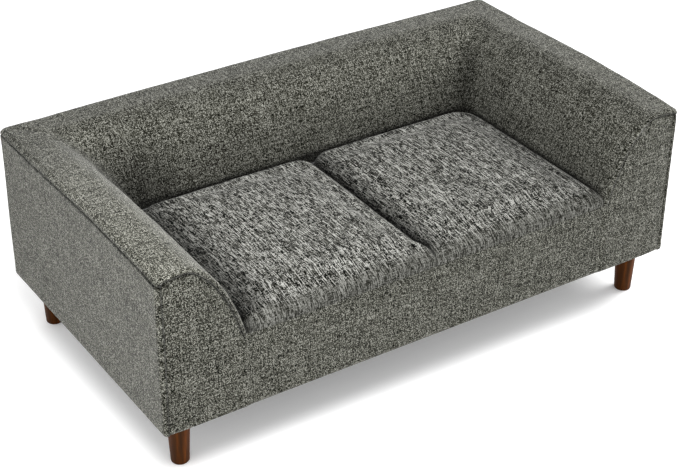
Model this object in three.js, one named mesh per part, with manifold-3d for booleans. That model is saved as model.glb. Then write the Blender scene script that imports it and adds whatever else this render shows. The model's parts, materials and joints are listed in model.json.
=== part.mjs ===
// A low two-seat upholstered dog sofa: a wooden frame, foam walls, fabric covers, two loose seat cushions
// and four screwed-in legs.
// Millimetres, +Z up. The origin is on the floor under the middle of the bed. +Y is towards the back, and
// +X goes from the left arm to the right arm as they are seen from the front.
import * as THREE from 'three';
import { mergeVertices } from 'three/addons/utils/BufferGeometryUtils.js';
import Module from 'manifold-3d';

const wasm = await Module();
wasm.setup();

// Overall size
const LENGTH = 1000;
const DEPTH = 556;
const LEG_HEIGHT = 88;
const BODY_HEIGHT = 284;

// Wall section, measured in from the outer face and up from the bottom of the upholstery
const APRON_HEIGHT = 136;
const ARM_THICKNESS = 147;
const BACK_THICKNESS = 155;
const TOP_FLAT = 48;
const TOP_EDGE_RADIUS = 10;
const CREST_PULL = 37;
const FOOT_PULL_IN = 19;
const FOOT_PULL_UP = 76;

// Thicknesses and gaps
const COVER = 3.5;
const CLOTH = 1.5;
const DUST_CLOTH = 1;
const PLY = 9;
const FRONT_PLY = 12;
const RAIL = 18;
const DECK_PLY = 9;
const GAP = 0.3;
const CURVE_STEPS = 8;

// Frame
const RAIL_TOP = 124;
const SIDE_BOARD_TOP = 262;
const TOP_RAIL = 30;
const JOIST_HEIGHT = 60;
const JOIST_SPACING = 235;
const BLOCK_WIDTH = 56;
const BLOCK_HEIGHT = 45;

// Legs and their fixings
const LEG_TOP_RADIUS = 19;
const LEG_FOOT_RADIUS = 15;
const LEG_FOOT_ROUNDING = 3;
const LEG_INSET_SIDE = 44;
const LEG_INSET_FRONT = 43;
const LEG_INSET_BACK = 52;
const LEG_SIDES = 32;
const BOLT_RADIUS = 4;
const BOLT_POINT = 6;
const BOLT_CHAMFER = 1;
const BOLT_SIDES = 14;
const BOLT_CLEARANCE = 2;
const BOLT_IN_LEG = 33;
const BOLT_IN_BLOCK = 56;
const NUT_BARREL_RADIUS = 5.2;
const NUT_BARREL_LENGTH = 12;
const NUT_FLANGE_RADIUS = 11;
const NUT_FLANGE = 1.6;
const NUT_SIDES = 20;

// Cushions
const CUSHION_BOTTOM = APRON_HEIGHT - 0.4;
const CUSHION_CROWN = 36;
const CUSHION_WALL = 10;
const CUSHION_ROLL = 28;
const CUSHION_ROLL_RISE = 24;
const CUSHION_BOTTOM_ROUNDING = 5;
const CUSHION_CORNER_STEPS = 4;
const CUSHION_FRONT_CORNER = 14;
const CUSHION_REAR_CORNER = 34;
const CUSHION_SIDE_GAP = 1.5;
const CUSHION_REAR_GAP = 6;
const CUSHION_FRONT_SETBACK = 1;
// The share of the roll drawn in, and of its rise gained, at each ring between the wall and the roll's top
const ROLL_SHARES = [[0.13, 0.5], [0.5, 0.87]];
// The share of the top's width left, and of the crown's height gained, at each ring above the roll
const CROWN_SHARES = [[0.66, 0.65], [0.33, 0.92]];

// Zips
const ZIP_ABOVE_ROUNDING = 1;
const ZIP_SLOT_DEPTH = 6;
const ZIP_LENGTH = 300;
const ZIP_HEIGHT = 9;
const ZIP_TAPE = 1.2;
const ZIP_COIL_HEIGHT = 3;
const ZIP_COIL = 1;
const SLIDER_LENGTH = 8;
const SLIDER_HEIGHT = 6;
const SLIDER_DEPTH = 2.6;
const SLIDER_START = 2;
const PULL_LENGTH = 14;
const PULL_DEPTH = 1;

// Worked out
const HALF_LENGTH = LENGTH / 2;
const HALF_DEPTH = DEPTH / 2;
const BACK_STRETCH = BACK_THICKNESS / ARM_THICKNESS;
const INSIDE_COVER = COVER + GAP;
const BEHIND_BOARD = INSIDE_COVER + PLY + GAP;
const BEHIND_RAIL = BEHIND_BOARD + RAIL + GAP;
const BASE_BOTTOM = DUST_CLOTH + GAP;
const DECK_BOTTOM = RAIL_TOP + GAP;
const DECK_TOP = DECK_BOTTOM + DECK_PLY;
const ON_DECK = DECK_TOP + GAP;
const LEG_PLACES = [
  ['front_left', -1, -HALF_DEPTH + LEG_INSET_FRONT],
  ['front_right', 1, -HALF_DEPTH + LEG_INSET_FRONT],
  ['back_left', -1, HALF_DEPTH - LEG_INSET_BACK],
  ['back_right', 1, HALF_DEPTH - LEG_INSET_BACK],
];

const tweed = finish(0x6e6d65, 0.95, 0);
const cushionTweed = finish(0x777671, 0.95, 0);
const blackCloth = finish(0x1d1d1e, 0.95, 0);
const foam = finish(0xe6dfc4, 0.9, 0);
const walnut = finish(0x4a2a14, 0.45, 0);
const plywood = finish(0xc9a877, 0.7, 0);
const pine = finish(0xd9bf8f, 0.7, 0);
const steel = finish(0xb9bcc0, 0.35, 0.9);
const zipTape = finish(0x4a4a47, 0.8, 0);
const zipMetal = finish(0x6a6a6c, 0.4, 0.8);

function finish(color, roughness, metalness) {
  return new THREE.MeshStandardMaterial({ color, roughness, metalness });
}

function piece(name, geometry, material) {
  const mesh = new THREE.Mesh(geometry, material);
  mesh.name = name;
  return mesh;
}

// A rectangular board between two opposite corners.
function board(name, low, high, material) {
  const geometry = new THREE.BoxGeometry(high[0] - low[0], high[1] - low[1], high[2] - low[2]);
  geometry.translate((low[0] + high[0]) / 2, (low[1] + high[1]) / 2, (low[2] + high[2]) / 2);
  return piece(name, geometry, material);
}

function toSolid(geometry) {
  const bare = geometry.clone();
  bare.deleteAttribute('normal');
  bare.deleteAttribute('uv');
  const merged = mergeVertices(bare);
  return new wasm.Manifold(new wasm.Mesh({
    numProp: 3,
    vertProperties: new Float32Array(merged.attributes.position.array),
    triVerts: new Uint32Array(merged.index.array),
  }));
}

function toGeometry(solid) {
  const mesh = solid.getMesh();
  const geometry = new THREE.BufferGeometry();
  geometry.setAttribute('position', new THREE.BufferAttribute(mesh.vertProperties, 3));
  geometry.setIndex(new THREE.BufferAttribute(mesh.triVerts, 1));
  geometry.computeVertexNormals();
  return geometry;
}

// The wall's visible outline from the outer top seam, over the top and down the inner face to a low end.
function wallOutline(lowEnd) {
  const path = new THREE.Path();
  const seamHeight = BODY_HEIGHT - TOP_EDGE_RADIUS;
  path.moveTo(0, seamHeight);
  path.absarc(TOP_EDGE_RADIUS, seamHeight, TOP_EDGE_RADIUS, Math.PI, Math.PI / 2, true);
  path.lineTo(TOP_FLAT, BODY_HEIGHT);
  path.bezierCurveTo(
    TOP_FLAT + CREST_PULL, BODY_HEIGHT,
    ARM_THICKNESS - FOOT_PULL_IN, APRON_HEIGHT + FOOT_PULL_UP,
    ARM_THICKNESS, APRON_HEIGHT,
  );
  const points = path.getPoints(CURVE_STEPS);
  if (lowEnd < APRON_HEIGHT) {
    points.push(new THREE.Vector2(ARM_THICKNESS, lowEnd));
  }
  return points.filter((point, i) => i === 0 || point.distanceTo(points[i - 1]) > 1e-6);
}

// The same outline moved into the wall by a distance, with both ends kept at their own heights.
function outlineInside(points, distance) {
  const moved = points.map((point, i) => {
    const before = points[Math.max(i - 1, 0)];
    const after = points[Math.min(i + 1, points.length - 1)];
    const along = after.clone().sub(before).normalize();
    return new THREE.Vector2(point.x + along.y * distance, point.y - along.x * distance);
  });
  moved[0].set(distance, points[0].y);
  moved[moved.length - 1].set(points[points.length - 1].x - distance, points[points.length - 1].y);
  return moved;
}

function extrude(shape, depth) {
  return new THREE.ExtrudeGeometry(shape, { depth, bevelEnabled: false, curveSegments: CURVE_STEPS });
}

// A straight run with this section; each end's place along the run is a function of the section's own x.
function run(section, startAt, endAt) {
  const geometry = extrude(new THREE.Shape(section), 1);
  const position = geometry.attributes.position;
  for (let i = 0; i < position.count; i += 1) {
    const x = position.getX(i);
    position.setZ(i, position.getZ(i) > 0.5 ? endAt(x) : startAt(x));
  }
  return geometry;
}

// An arm's run, from its mitre with the back to the front. side is -1 on the left and 1 on the right.
function armRun(section, side, frontInset) {
  const placed = section.map((point) => new THREE.Vector2(-side * point.x, point.y));
  const mitre = (x) => Math.abs(x) * BACK_STRETCH + GAP;
  const geometry = run(placed, mitre, () => DEPTH - frontInset);
  geometry.rotateX(Math.PI / 2);
  geometry.translate(side * HALF_LENGTH, HALF_DEPTH, 0);
  return geometry;
}

// The back's run, mitred into both arms. Its section is the arm's, stretched to the back's thickness.
function backRun(section) {
  const placed = section.map((point) => new THREE.Vector2(-point.x * BACK_STRETCH, point.y));
  const reach = (x) => HALF_LENGTH - Math.abs(x) / BACK_STRETCH - GAP;
  const geometry = run(placed, (x) => -reach(x), reach);
  geometry.rotateY(Math.PI / 2);
  geometry.rotateX(Math.PI / 2);
  geometry.translate(0, HALF_DEPTH, 0);
  return geometry;
}

// A flat outline in the front plane, given a thickness towards the back.
function frontSlab(outline, front, thickness) {
  const geometry = extrude(new THREE.Shape(outline), thickness);
  geometry.rotateX(Math.PI / 2);
  geometry.translate(0, front + thickness, 0);
  return geometry;
}

function wrapSection() {
  const outer = wallOutline(ON_DECK);
  return [...outer, ...outlineInside(outer, COVER).reverse()];
}

// Foam fills the wall inside the cover, round the board on its outer side and the rail along its top.
function foamSection() {
  const outer = wallOutline(ON_DECK);
  const top = outlineInside(outer, INSIDE_COVER);
  const behindRail = BEHIND_BOARD + TOP_RAIL + GAP;
  return [
    new THREE.Vector2(BEHIND_BOARD, ON_DECK),
    new THREE.Vector2(BEHIND_BOARD, SIDE_BOARD_TOP - TOP_RAIL - GAP),
    new THREE.Vector2(behindRail, SIDE_BOARD_TOP - TOP_RAIL - GAP),
    new THREE.Vector2(behindRail, SIDE_BOARD_TOP + GAP),
    new THREE.Vector2(INSIDE_COVER, SIDE_BOARD_TOP + GAP),
    ...top,
  ];
}

function frontBoard(side) {
  const edge = outlineInside(wallOutline(BASE_BOTTOM), INSIDE_COVER);
  const outline = [new THREE.Vector2(INSIDE_COVER, BASE_BOTTOM), ...edge]
    .map((point) => new THREE.Vector2(side * (HALF_LENGTH - point.x), point.y));
  return frontSlab(outline, -HALF_DEPTH + INSIDE_COVER, FRONT_PLY);
}

// Both arm fronts and the apron between them, in one piece.
function frontPanel() {
  const arm = wallOutline(APRON_HEIGHT);
  const left = arm.map((point) => new THREE.Vector2(-HALF_LENGTH + point.x, point.y));
  const right = arm.map((point) => new THREE.Vector2(HALF_LENGTH - point.x, point.y)).reverse();
  const outline = [
    new THREE.Vector2(-HALF_LENGTH, 0),
    ...left,
    ...right,
    new THREE.Vector2(HALF_LENGTH, 0),
  ];
  return frontSlab(outline, -HALF_DEPTH, COVER);
}

function covers() {
  const group = new THREE.Group();
  const panelTop = BODY_HEIGHT - TOP_EDGE_RADIUS - GAP;
  const panelEnd = HALF_DEPTH - INSIDE_COVER;
  for (const [name, side] of [['left', -1], ['right', 1]]) {
    const faces = [side * HALF_LENGTH, side * (HALF_LENGTH - COVER)].sort((a, b) => a - b);
    group.add(board(
      `${name}_side_panel`,
      [faces[0], -panelEnd, 0],
      [faces[1], panelEnd, panelTop],
      tweed,
    ));
    group.add(piece(`${name}_arm_wrap`, armRun(wrapSection(), side, INSIDE_COVER), tweed));
  }
  group.add(piece('back_wrap', backRun(wrapSection()), tweed));
  group.add(board(
    'rear_panel',
    [-HALF_LENGTH, HALF_DEPTH - COVER, 0],
    [HALF_LENGTH, HALF_DEPTH, panelTop],
    tweed,
  ));
  group.add(piece('front_panel', frontPanel(), tweed));
  const wellHalf = HALF_LENGTH - ARM_THICKNESS - GAP;
  group.add(board(
    'deck_cloth',
    [-wellHalf, -panelEnd, ON_DECK],
    [wellHalf, HALF_DEPTH - BACK_THICKNESS - GAP, ON_DECK + CLOTH],
    blackCloth,
  ));
  group.add(piece('dust_cover', dustCover(), blackCloth));
  return group;
}

function rectangle(lowX, lowY, highX, highY) {
  const corners = [[lowX, lowY], [highX, lowY], [highX, highY], [lowX, highY]];
  return new THREE.Shape(corners.map(([x, y]) => new THREE.Vector2(x, y)));
}

function circleHole(x, y, radius) {
  const hole = new THREE.Path();
  hole.absarc(x, y, radius, 0, 2 * Math.PI, true);
  return hole;
}

// A cloth under the base, with a hole for each leg's bolt.
function dustCover() {
  const x = HALF_LENGTH - INSIDE_COVER;
  const y = HALF_DEPTH - INSIDE_COVER;
  const shape = rectangle(-x, -y, x, y);
  for (const [, side, legY] of LEG_PLACES) {
    shape.holes.push(circleHole(side * (HALF_LENGTH - LEG_INSET_SIDE), legY, BOLT_RADIUS + BOLT_CLEARANCE));
  }
  return extrude(shape, DUST_CLOTH);
}

function walls() {
  const group = new THREE.Group();
  const outerX = HALF_LENGTH - INSIDE_COVER;
  const backFace = HALF_DEPTH - INSIDE_COVER;
  const behindFront = -HALF_DEPTH + INSIDE_COVER + FRONT_PLY + GAP;
  const inFrontOfBoard = HALF_DEPTH - BEHIND_BOARD;
  const railX = HALF_LENGTH - BEHIND_BOARD;
  const railBottom = SIDE_BOARD_TOP - TOP_RAIL;
  const backRailFront = inFrontOfBoard - TOP_RAIL;
  const foamInset = INSIDE_COVER + FRONT_PLY + GAP;
  for (const [name, side] of [['left', -1], ['right', 1]]) {
    const boardFaces = [side * outerX, side * (outerX - PLY)].sort((a, b) => a - b);
    const railFaces = [side * railX, side * (railX - TOP_RAIL)].sort((a, b) => a - b);
    group.add(board(
      `${name}_side_board`,
      [boardFaces[0], behindFront, BASE_BOTTOM],
      [boardFaces[1], inFrontOfBoard, SIDE_BOARD_TOP],
      plywood,
    ));
    group.add(board(
      `${name}_top_rail`,
      [railFaces[0], behindFront, railBottom],
      [railFaces[1], backRailFront - GAP, SIDE_BOARD_TOP],
      pine,
    ));
    group.add(piece(`${name}_front_board`, frontBoard(side), plywood));
    group.add(piece(`${name}_arm_foam`, armRun(foamSection(), side, foamInset), foam));
  }
  group.add(board(
    'back_board',
    [-outerX, backFace - PLY, BASE_BOTTOM],
    [outerX, backFace, SIDE_BOARD_TOP],
    plywood,
  ));
  group.add(board(
    'back_top_rail',
    [-railX, backRailFront, railBottom],
    [railX, inFrontOfBoard, SIDE_BOARD_TOP],
    pine,
  ));
  group.add(piece('back_foam', backRun(foamSection()), foam));
  return group;
}

function base() {
  const group = new THREE.Group();
  const railX = HALF_LENGTH - BEHIND_BOARD;
  const backRailBack = HALF_DEPTH - BEHIND_BOARD;
  const backRailFront = backRailBack - RAIL;
  const behindFrontBoard = -HALF_DEPTH + INSIDE_COVER + FRONT_PLY + GAP;
  const frontRailX = HALF_LENGTH - ARM_THICKNESS + INSIDE_COVER - GAP;
  const frontRailFront = -HALF_DEPTH + INSIDE_COVER;
  const behindFrontRail = frontRailFront + RAIL + GAP;
  group.add(board(
    'front_rail',
    [-frontRailX, frontRailFront, BASE_BOTTOM],
    [frontRailX, frontRailFront + RAIL, DECK_TOP],
    pine,
  ));
  group.add(board(
    'back_rail',
    [-railX, backRailFront, BASE_BOTTOM],
    [railX, backRailBack, RAIL_TOP],
    pine,
  ));
  for (const [name, side] of [['left', -1], ['right', 1]]) {
    const faces = [side * railX, side * (railX - RAIL)].sort((a, b) => a - b);
    group.add(board(
      `${name}_side_rail`,
      [faces[0], behindFrontBoard, BASE_BOTTOM],
      [faces[1], backRailFront - GAP, RAIL_TOP],
      pine,
    ));
  }
  for (const [name, place] of [['left', -1], ['centre', 0], ['right', 1]]) {
    const x = place * JOIST_SPACING;
    group.add(board(
      `${name}_joist`,
      [x - RAIL / 2, behindFrontRail, RAIL_TOP - JOIST_HEIGHT],
      [x + RAIL / 2, backRailFront - GAP, RAIL_TOP],
      pine,
    ));
  }
  group.add(board(
    'seat_deck',
    [-railX, behindFrontRail, DECK_BOTTOM],
    [railX, backRailBack, DECK_TOP],
    plywood,
  ));
  for (const [name, side, legY] of LEG_PLACES) {
    group.add(piece(`corner_block_${name}`, cornerBlock(side, legY), pine));
  }
  return group;
}

// A block in each corner of the base, bored for the leg's T-nut.
function cornerBlock(side, legY) {
  const legX = HALF_LENGTH - LEG_INSET_SIDE;
  const outerX = HALF_LENGTH - BEHIND_RAIL;
  const atFront = legY < 0;
  const frontY = -HALF_DEPTH + INSIDE_COVER + FRONT_PLY + GAP;
  const backY = HALF_DEPTH - BEHIND_RAIL;
  const nearY = atFront ? frontY : backY - BLOCK_WIDTH;
  const nearX = side > 0 ? outerX - BLOCK_WIDTH : -outerX;
  const shape = rectangle(nearX, nearY, nearX + BLOCK_WIDTH, nearY + BLOCK_WIDTH);
  shape.holes.push(circleHole(side * legX, legY, NUT_BARREL_RADIUS + GAP));
  const geometry = extrude(shape, BLOCK_HEIGHT - NUT_FLANGE - GAP);
  geometry.translate(0, 0, BASE_BOTTOM);
  return geometry;
}

function lathe(profile, segments) {
  const points = profile.map(([radius, height]) => new THREE.Vector2(radius, height));
  return new THREE.LatheGeometry(points, segments).rotateX(Math.PI / 2);
}

// A turned leg with a rounded foot edge and a blind hole down from its top for the bolt.
function leg() {
  const hole = BOLT_RADIUS + GAP;
  const foot = LEG_FOOT_RADIUS;
  const corner = LEG_FOOT_ROUNDING;
  return lathe([
    [0, 0],
    [foot - corner, 0],
    [foot - corner + corner * Math.SQRT1_2, corner - corner * Math.SQRT1_2],
    [foot, corner],
    [LEG_TOP_RADIUS, LEG_HEIGHT - GAP],
    [hole, LEG_HEIGHT - GAP],
    [hole, LEG_HEIGHT - BOLT_IN_LEG - GAP],
    [0, LEG_HEIGHT - BOLT_IN_LEG - GAP],
  ], LEG_SIDES);
}

// A bolt that is pointed at its lower end, in the leg, and chamfered at its upper end.
function hangerBolt() {
  const bottom = LEG_HEIGHT - BOLT_IN_LEG;
  const top = LEG_HEIGHT + BOLT_IN_BLOCK;
  return lathe([
    [0, bottom],
    [BOLT_CHAMFER, bottom],
    [BOLT_RADIUS, bottom + BOLT_POINT],
    [BOLT_RADIUS, top - BOLT_CHAMFER],
    [BOLT_RADIUS - BOLT_CHAMFER, top],
    [0, top],
  ], BOLT_SIDES);
}

// The nut's barrel is in the block and its flange lies on the block's top face.
function tNut() {
  const bore = BOLT_RADIUS + GAP;
  const flangeBottom = LEG_HEIGHT + BASE_BOTTOM + BLOCK_HEIGHT - NUT_FLANGE;
  const flangeTop = flangeBottom + NUT_FLANGE;
  return lathe([
    [bore, flangeBottom - NUT_BARREL_LENGTH],
    [NUT_BARREL_RADIUS, flangeBottom - NUT_BARREL_LENGTH],
    [NUT_BARREL_RADIUS, flangeBottom],
    [NUT_FLANGE_RADIUS, flangeBottom],
    [NUT_FLANGE_RADIUS, flangeTop],
    [bore, flangeTop],
    [bore, flangeBottom - NUT_BARREL_LENGTH],
  ], NUT_SIDES);
}

function legs() {
  const group = new THREE.Group();
  const parts = [
    ['leg', leg, walnut],
    ['hanger_bolt', hangerBolt, steel],
    ['t_nut', tNut, steel],
  ];
  for (const [place, side, legY] of LEG_PLACES) {
    for (const [name, make, material] of parts) {
      const mesh = piece(`${name}_${place}`, make(), material);
      mesh.position.set(side * (HALF_LENGTH - LEG_INSET_SIDE), legY, 0);
      group.add(mesh);
    }
  }
  return group;
}

// The outline of a rectangle with rounded corners: the front pair of one radius, the rear pair of another.
function roundedRectangle(halfX, halfY, front, rear) {
  const shape = new THREE.Shape();
  shape.moveTo(halfX, -halfY + front);
  shape.absarc(halfX - rear, halfY - rear, rear, 0, Math.PI / 2, false);
  shape.absarc(-halfX + rear, halfY - rear, rear, Math.PI / 2, Math.PI, false);
  shape.absarc(-halfX + front, -halfY + front, front, Math.PI, 1.5 * Math.PI, false);
  shape.absarc(halfX - front, -halfY + front, front, 1.5 * Math.PI, 2 * Math.PI, false);
  const points = shape.getPoints(CUSHION_CORNER_STEPS);
  return points.filter((point, i) => point.distanceTo(points[(i + 1) % points.length]) > 1e-6);
}

// A crowned pad centred on x and y: the rounded rectangle shrinks towards its middle at the bottom and at
// the top, and inset makes the same pad smaller all round.
function pad(halfX, halfY, inset) {
  const outline = roundedRectangle(
    halfX - inset,
    halfY - inset,
    CUSHION_FRONT_CORNER - inset,
    CUSHION_REAR_CORNER - inset,
  );
  const bottom = CUSHION_BOTTOM + inset;
  const wallTop = CUSHION_BOTTOM + CUSHION_WALL;
  const rollTop = wallTop + CUSHION_ROLL_RISE - inset;
  const crown = CUSHION_BOTTOM + CUSHION_CROWN - inset;
  const rollScale = 1 - CUSHION_ROLL / halfX;
  const roll = ROLL_SHARES.map(([drawn, gained]) => (
    [1 - (CUSHION_ROLL * drawn) / halfX, wallTop + (rollTop - wallTop) * gained]
  ));
  const top = CROWN_SHARES.map(([left, gained]) => (
    [rollScale * left, rollTop + (crown - rollTop) * gained]
  ));
  const rings = [
    [1 - CUSHION_BOTTOM_ROUNDING / halfX, bottom],
    [1, bottom + CUSHION_BOTTOM_ROUNDING],
    [1, wallTop],
    ...roll,
    [rollScale, rollTop],
    ...top,
  ];
  const vertices = [0, 0, bottom];
  for (const [scale, height] of rings) {
    for (const point of outline) {
      vertices.push(point.x * scale, point.y * scale, height);
    }
  }
  vertices.push(0, 0, crown);
  const count = outline.length;
  const last = vertices.length / 3 - 1;
  const faces = [];
  for (let i = 0; i < count; i += 1) {
    const next = (i + 1) % count;
    faces.push(0, 1 + next, 1 + i);
    for (let ring = 0; ring < rings.length - 1; ring += 1) {
      const low = 1 + ring * count;
      const high = low + count;
      faces.push(low + i, low + next, high + next);
      faces.push(low + i, high + next, high + i);
    }
    faces.push(last, last - count + i, last - count + next);
  }
  const geometry = new THREE.BufferGeometry();
  geometry.setAttribute('position', new THREE.Float32BufferAttribute(vertices, 3));
  geometry.setIndex(faces);
  geometry.computeVertexNormals();
  return geometry;
}

// The zip's section is a tape with its coil standing out along the middle; it runs across the cushion's
// rear.
function zip() {
  const half = ZIP_HEIGHT / 2 - GAP;
  const coil = ZIP_COIL_HEIGHT / 2;
  const section = [
    [0, -half], [ZIP_TAPE, -half], [ZIP_TAPE, -coil], [ZIP_TAPE + ZIP_COIL, -coil],
    [ZIP_TAPE + ZIP_COIL, coil], [ZIP_TAPE, coil], [ZIP_TAPE, half], [0, half],
  ].map(([y, z]) => new THREE.Vector2(y, z));
  const length = ZIP_LENGTH - 2 * GAP;
  const geometry = run(section, () => -length / 2, () => length / 2);
  geometry.rotateY(Math.PI / 2);
  geometry.rotateX(Math.PI / 2);
  return geometry;
}

// A slider body with its pull lying along the zip.
function slider() {
  const outline = [
    [0, 0], [SLIDER_LENGTH + PULL_LENGTH, 0], [SLIDER_LENGTH + PULL_LENGTH, PULL_DEPTH],
    [SLIDER_LENGTH, PULL_DEPTH], [SLIDER_LENGTH, SLIDER_DEPTH], [0, SLIDER_DEPTH],
  ].map(([x, y]) => new THREE.Vector2(x, y));
  const geometry = extrude(new THREE.Shape(outline), SLIDER_HEIGHT);
  geometry.translate(-ZIP_LENGTH / 2 + SLIDER_START, 0, -SLIDER_HEIGHT / 2);
  return geometry;
}

function cushion(name, side) {
  const group = new THREE.Group();
  const wellHalf = HALF_LENGTH - ARM_THICKNESS;
  const halfX = wellHalf / 2 - CUSHION_SIDE_GAP;
  const front = -HALF_DEPTH + CUSHION_FRONT_SETBACK;
  const rear = HALF_DEPTH - BACK_THICKNESS - CUSHION_REAR_GAP;
  const halfY = (rear - front) / 2;
  group.position.set((side * wellHalf) / 2, (rear + front) / 2, 0);

  const zipHeight = CUSHION_BOTTOM + CUSHION_BOTTOM_ROUNDING + ZIP_HEIGHT / 2 + ZIP_ABOVE_ROUNDING;
  const slot = new THREE.BoxGeometry(ZIP_LENGTH, ZIP_SLOT_DEPTH, ZIP_HEIGHT);
  slot.translate(0, halfY, zipHeight);
  const outside = toSolid(pad(halfX, halfY, 0));
  const inside = toSolid(pad(halfX, halfY, CLOTH));
  const shell = outside.subtract(inside).subtract(toSolid(slot));
  group.add(piece(`${name}_cushion_cover`, toGeometry(shell), cushionTweed));
  group.add(piece(`${name}_cushion_foam`, pad(halfX, halfY, CLOTH + GAP), foam));

  const zipMesh = piece(`${name}_cushion_zip`, zip(), zipTape);
  zipMesh.position.set(0, halfY - CLOTH, zipHeight);
  group.add(zipMesh);
  const sliderMesh = piece(`${name}_zip_slider`, slider(), zipMetal);
  sliderMesh.position.set(0, halfY - CLOTH + ZIP_TAPE + ZIP_COIL + GAP, zipHeight);
  group.add(sliderMesh);
  return group;
}

const bed = new THREE.Group();
const body = new THREE.Group();
body.position.z = LEG_HEIGHT;
body.add(covers(), walls(), base(), cushion('left', -1), cushion('right', 1));
bed.add(body, legs());

export default bed;
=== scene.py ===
"""A two-seat upholstered dog sofa: covers, cushions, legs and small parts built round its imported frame.

Metres, +Z up, +Y towards the back, origin on the floor under the middle of the bed.
"""
import json
import math

import bmesh
import bpy
import numpy as np
from mathutils import Matrix, Vector, noise


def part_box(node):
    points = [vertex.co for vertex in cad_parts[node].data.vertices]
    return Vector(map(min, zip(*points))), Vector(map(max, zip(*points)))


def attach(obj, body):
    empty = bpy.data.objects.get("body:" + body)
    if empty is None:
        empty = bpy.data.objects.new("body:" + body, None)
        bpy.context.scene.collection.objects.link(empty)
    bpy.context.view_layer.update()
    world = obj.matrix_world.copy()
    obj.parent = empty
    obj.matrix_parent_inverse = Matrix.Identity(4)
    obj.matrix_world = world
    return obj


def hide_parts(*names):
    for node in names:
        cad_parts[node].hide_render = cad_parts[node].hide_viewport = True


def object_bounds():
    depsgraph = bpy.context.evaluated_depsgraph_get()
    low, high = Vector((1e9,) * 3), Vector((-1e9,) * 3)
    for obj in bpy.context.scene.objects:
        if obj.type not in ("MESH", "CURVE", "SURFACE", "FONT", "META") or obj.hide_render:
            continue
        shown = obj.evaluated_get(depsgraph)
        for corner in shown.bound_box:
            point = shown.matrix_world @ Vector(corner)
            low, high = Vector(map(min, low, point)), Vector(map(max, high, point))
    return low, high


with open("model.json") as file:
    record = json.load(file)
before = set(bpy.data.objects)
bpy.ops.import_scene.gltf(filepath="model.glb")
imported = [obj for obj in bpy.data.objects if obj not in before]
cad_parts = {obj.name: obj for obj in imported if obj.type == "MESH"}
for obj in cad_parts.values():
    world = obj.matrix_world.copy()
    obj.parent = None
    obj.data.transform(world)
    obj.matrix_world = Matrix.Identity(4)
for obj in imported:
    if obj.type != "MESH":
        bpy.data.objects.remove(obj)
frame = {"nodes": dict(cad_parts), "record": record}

CAD_LOW, CAD_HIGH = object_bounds()

# Sizes that come from the frame
HALF_LENGTH = CAD_HIGH.x
HALF_DEPTH = CAD_HIGH.y
BODY_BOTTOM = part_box("dust_cover")[0].z
BODY_HEIGHT = CAD_HIGH.z - BODY_BOTTOM
ARM_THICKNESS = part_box("left_arm_wrap")[1].x + HALF_LENGTH
BACK_THICKNESS = HALF_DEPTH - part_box("back_wrap")[0].y
BACK_STRETCH = BACK_THICKNESS / ARM_THICKNESS
DECK_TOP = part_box("seat_deck")[1].z
WELL_HALF = HALF_LENGTH - ARM_THICKNESS
WELL_BACK = HALF_DEPTH - BACK_THICKNESS

# The wall's section: in from the outer face and up from the bottom of the upholstery
APRON_HEIGHT = 0.136
TOP_FLAT = 0.048
TOP_EDGE_RADIUS = 0.010
CREST_PULL = 0.037
FOOT_PULL_IN = 0.019
FOOT_PULL_UP = 0.076

# Rounding of the covers
FRONT_ROLL = 0.0055
SIDE_ROLL = 0.006
REAR_CORNER = 0.0095
CREST_CORNER = 0.030
CORNER_EASE = 0.003
SEAT_CORNER = 0.042
BOTTOM_ROLL = 0.006
TURN_UNDER = 0.014
SEAM_REACH = 0.0012
SEAM_DEPTH = 0.0040
SEAM_LIP = ((SEAM_DEPTH, 0.0004), (0.0022, 0.0008), (0.0010, 0.0018), (0.0003, 0.0032))
# Painted shade along the seams, beside the real seam groove: where it fades, measured from the cloth's cut
# edge, its strength, and its share at each end of a cover
SEAM_SHADE_NEAR = 0.0042
SEAM_SHADE_FAR = 0.0066
SEAM_SHADE = 0.72
END_SEAM_SHARE = {-1: 1.0, 1: 0.25}
REAR_SEAM = 0.010
REAR_GAP = 0.0005
FRONT_MARGIN = SIDE_ROLL + SEAM_REACH
FRONT_ROUNDING = 0.0036
FRONT_PUFF = 0.0016
WELL_TUCK = 0.022
CLOTH = 0.0012
ARM_CROWN = 0.005
BACK_CROWN = 0.0025
CORNER_DROP = 0.003
# How far a full painted shade share darkens the cloth's colour
PAINTED_SHADE_STRENGTH = 0.88
# Painted shade on the wall: its width in the valleys, its reach from the left arm along the back, and the
# heights of the dark line and of the broader shade low behind the cushions
VALLEY_WIDTH = 0.038
LEFT_END_REACH = 0.19
FOOT_LINE = (0.160, 0.147)
FOOT_REACH = (0.235, 0.155)

# Columns and rows of the covers; the back's are those of one half of it
ARM_COLUMNS = 71
ARC_COLUMNS = 27
BACK_COLUMNS = 65
FACE_ROWS = 60
SIDE_COLUMNS = 130
REAR_COLUMNS = 150
FRONT_ARM_COLUMNS = 74
FRONT_WELL_COLUMNS = 180
FRONT_ROWS = 84

# A row on the face of an outer cover, and how far along their way the rows past its two edges lie
FACE_ROW = 10
TOP_STEPS = (0.2, 0.5, 1.0)
UNDER_STEPS = (0.1, 0.3, 0.55, 0.8, 1.0)
SIDE_NAMES = {-1: "left", 1: "right"}

# Where on its roll of cloth each cover is cut, so that no two show the same yarns
CUT_PLACES = {"left_arm": 0.9, "back": 2.0, "right_arm": 3.1, "side": 4.5, "rear": 7.5, "front": 9.5}

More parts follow.
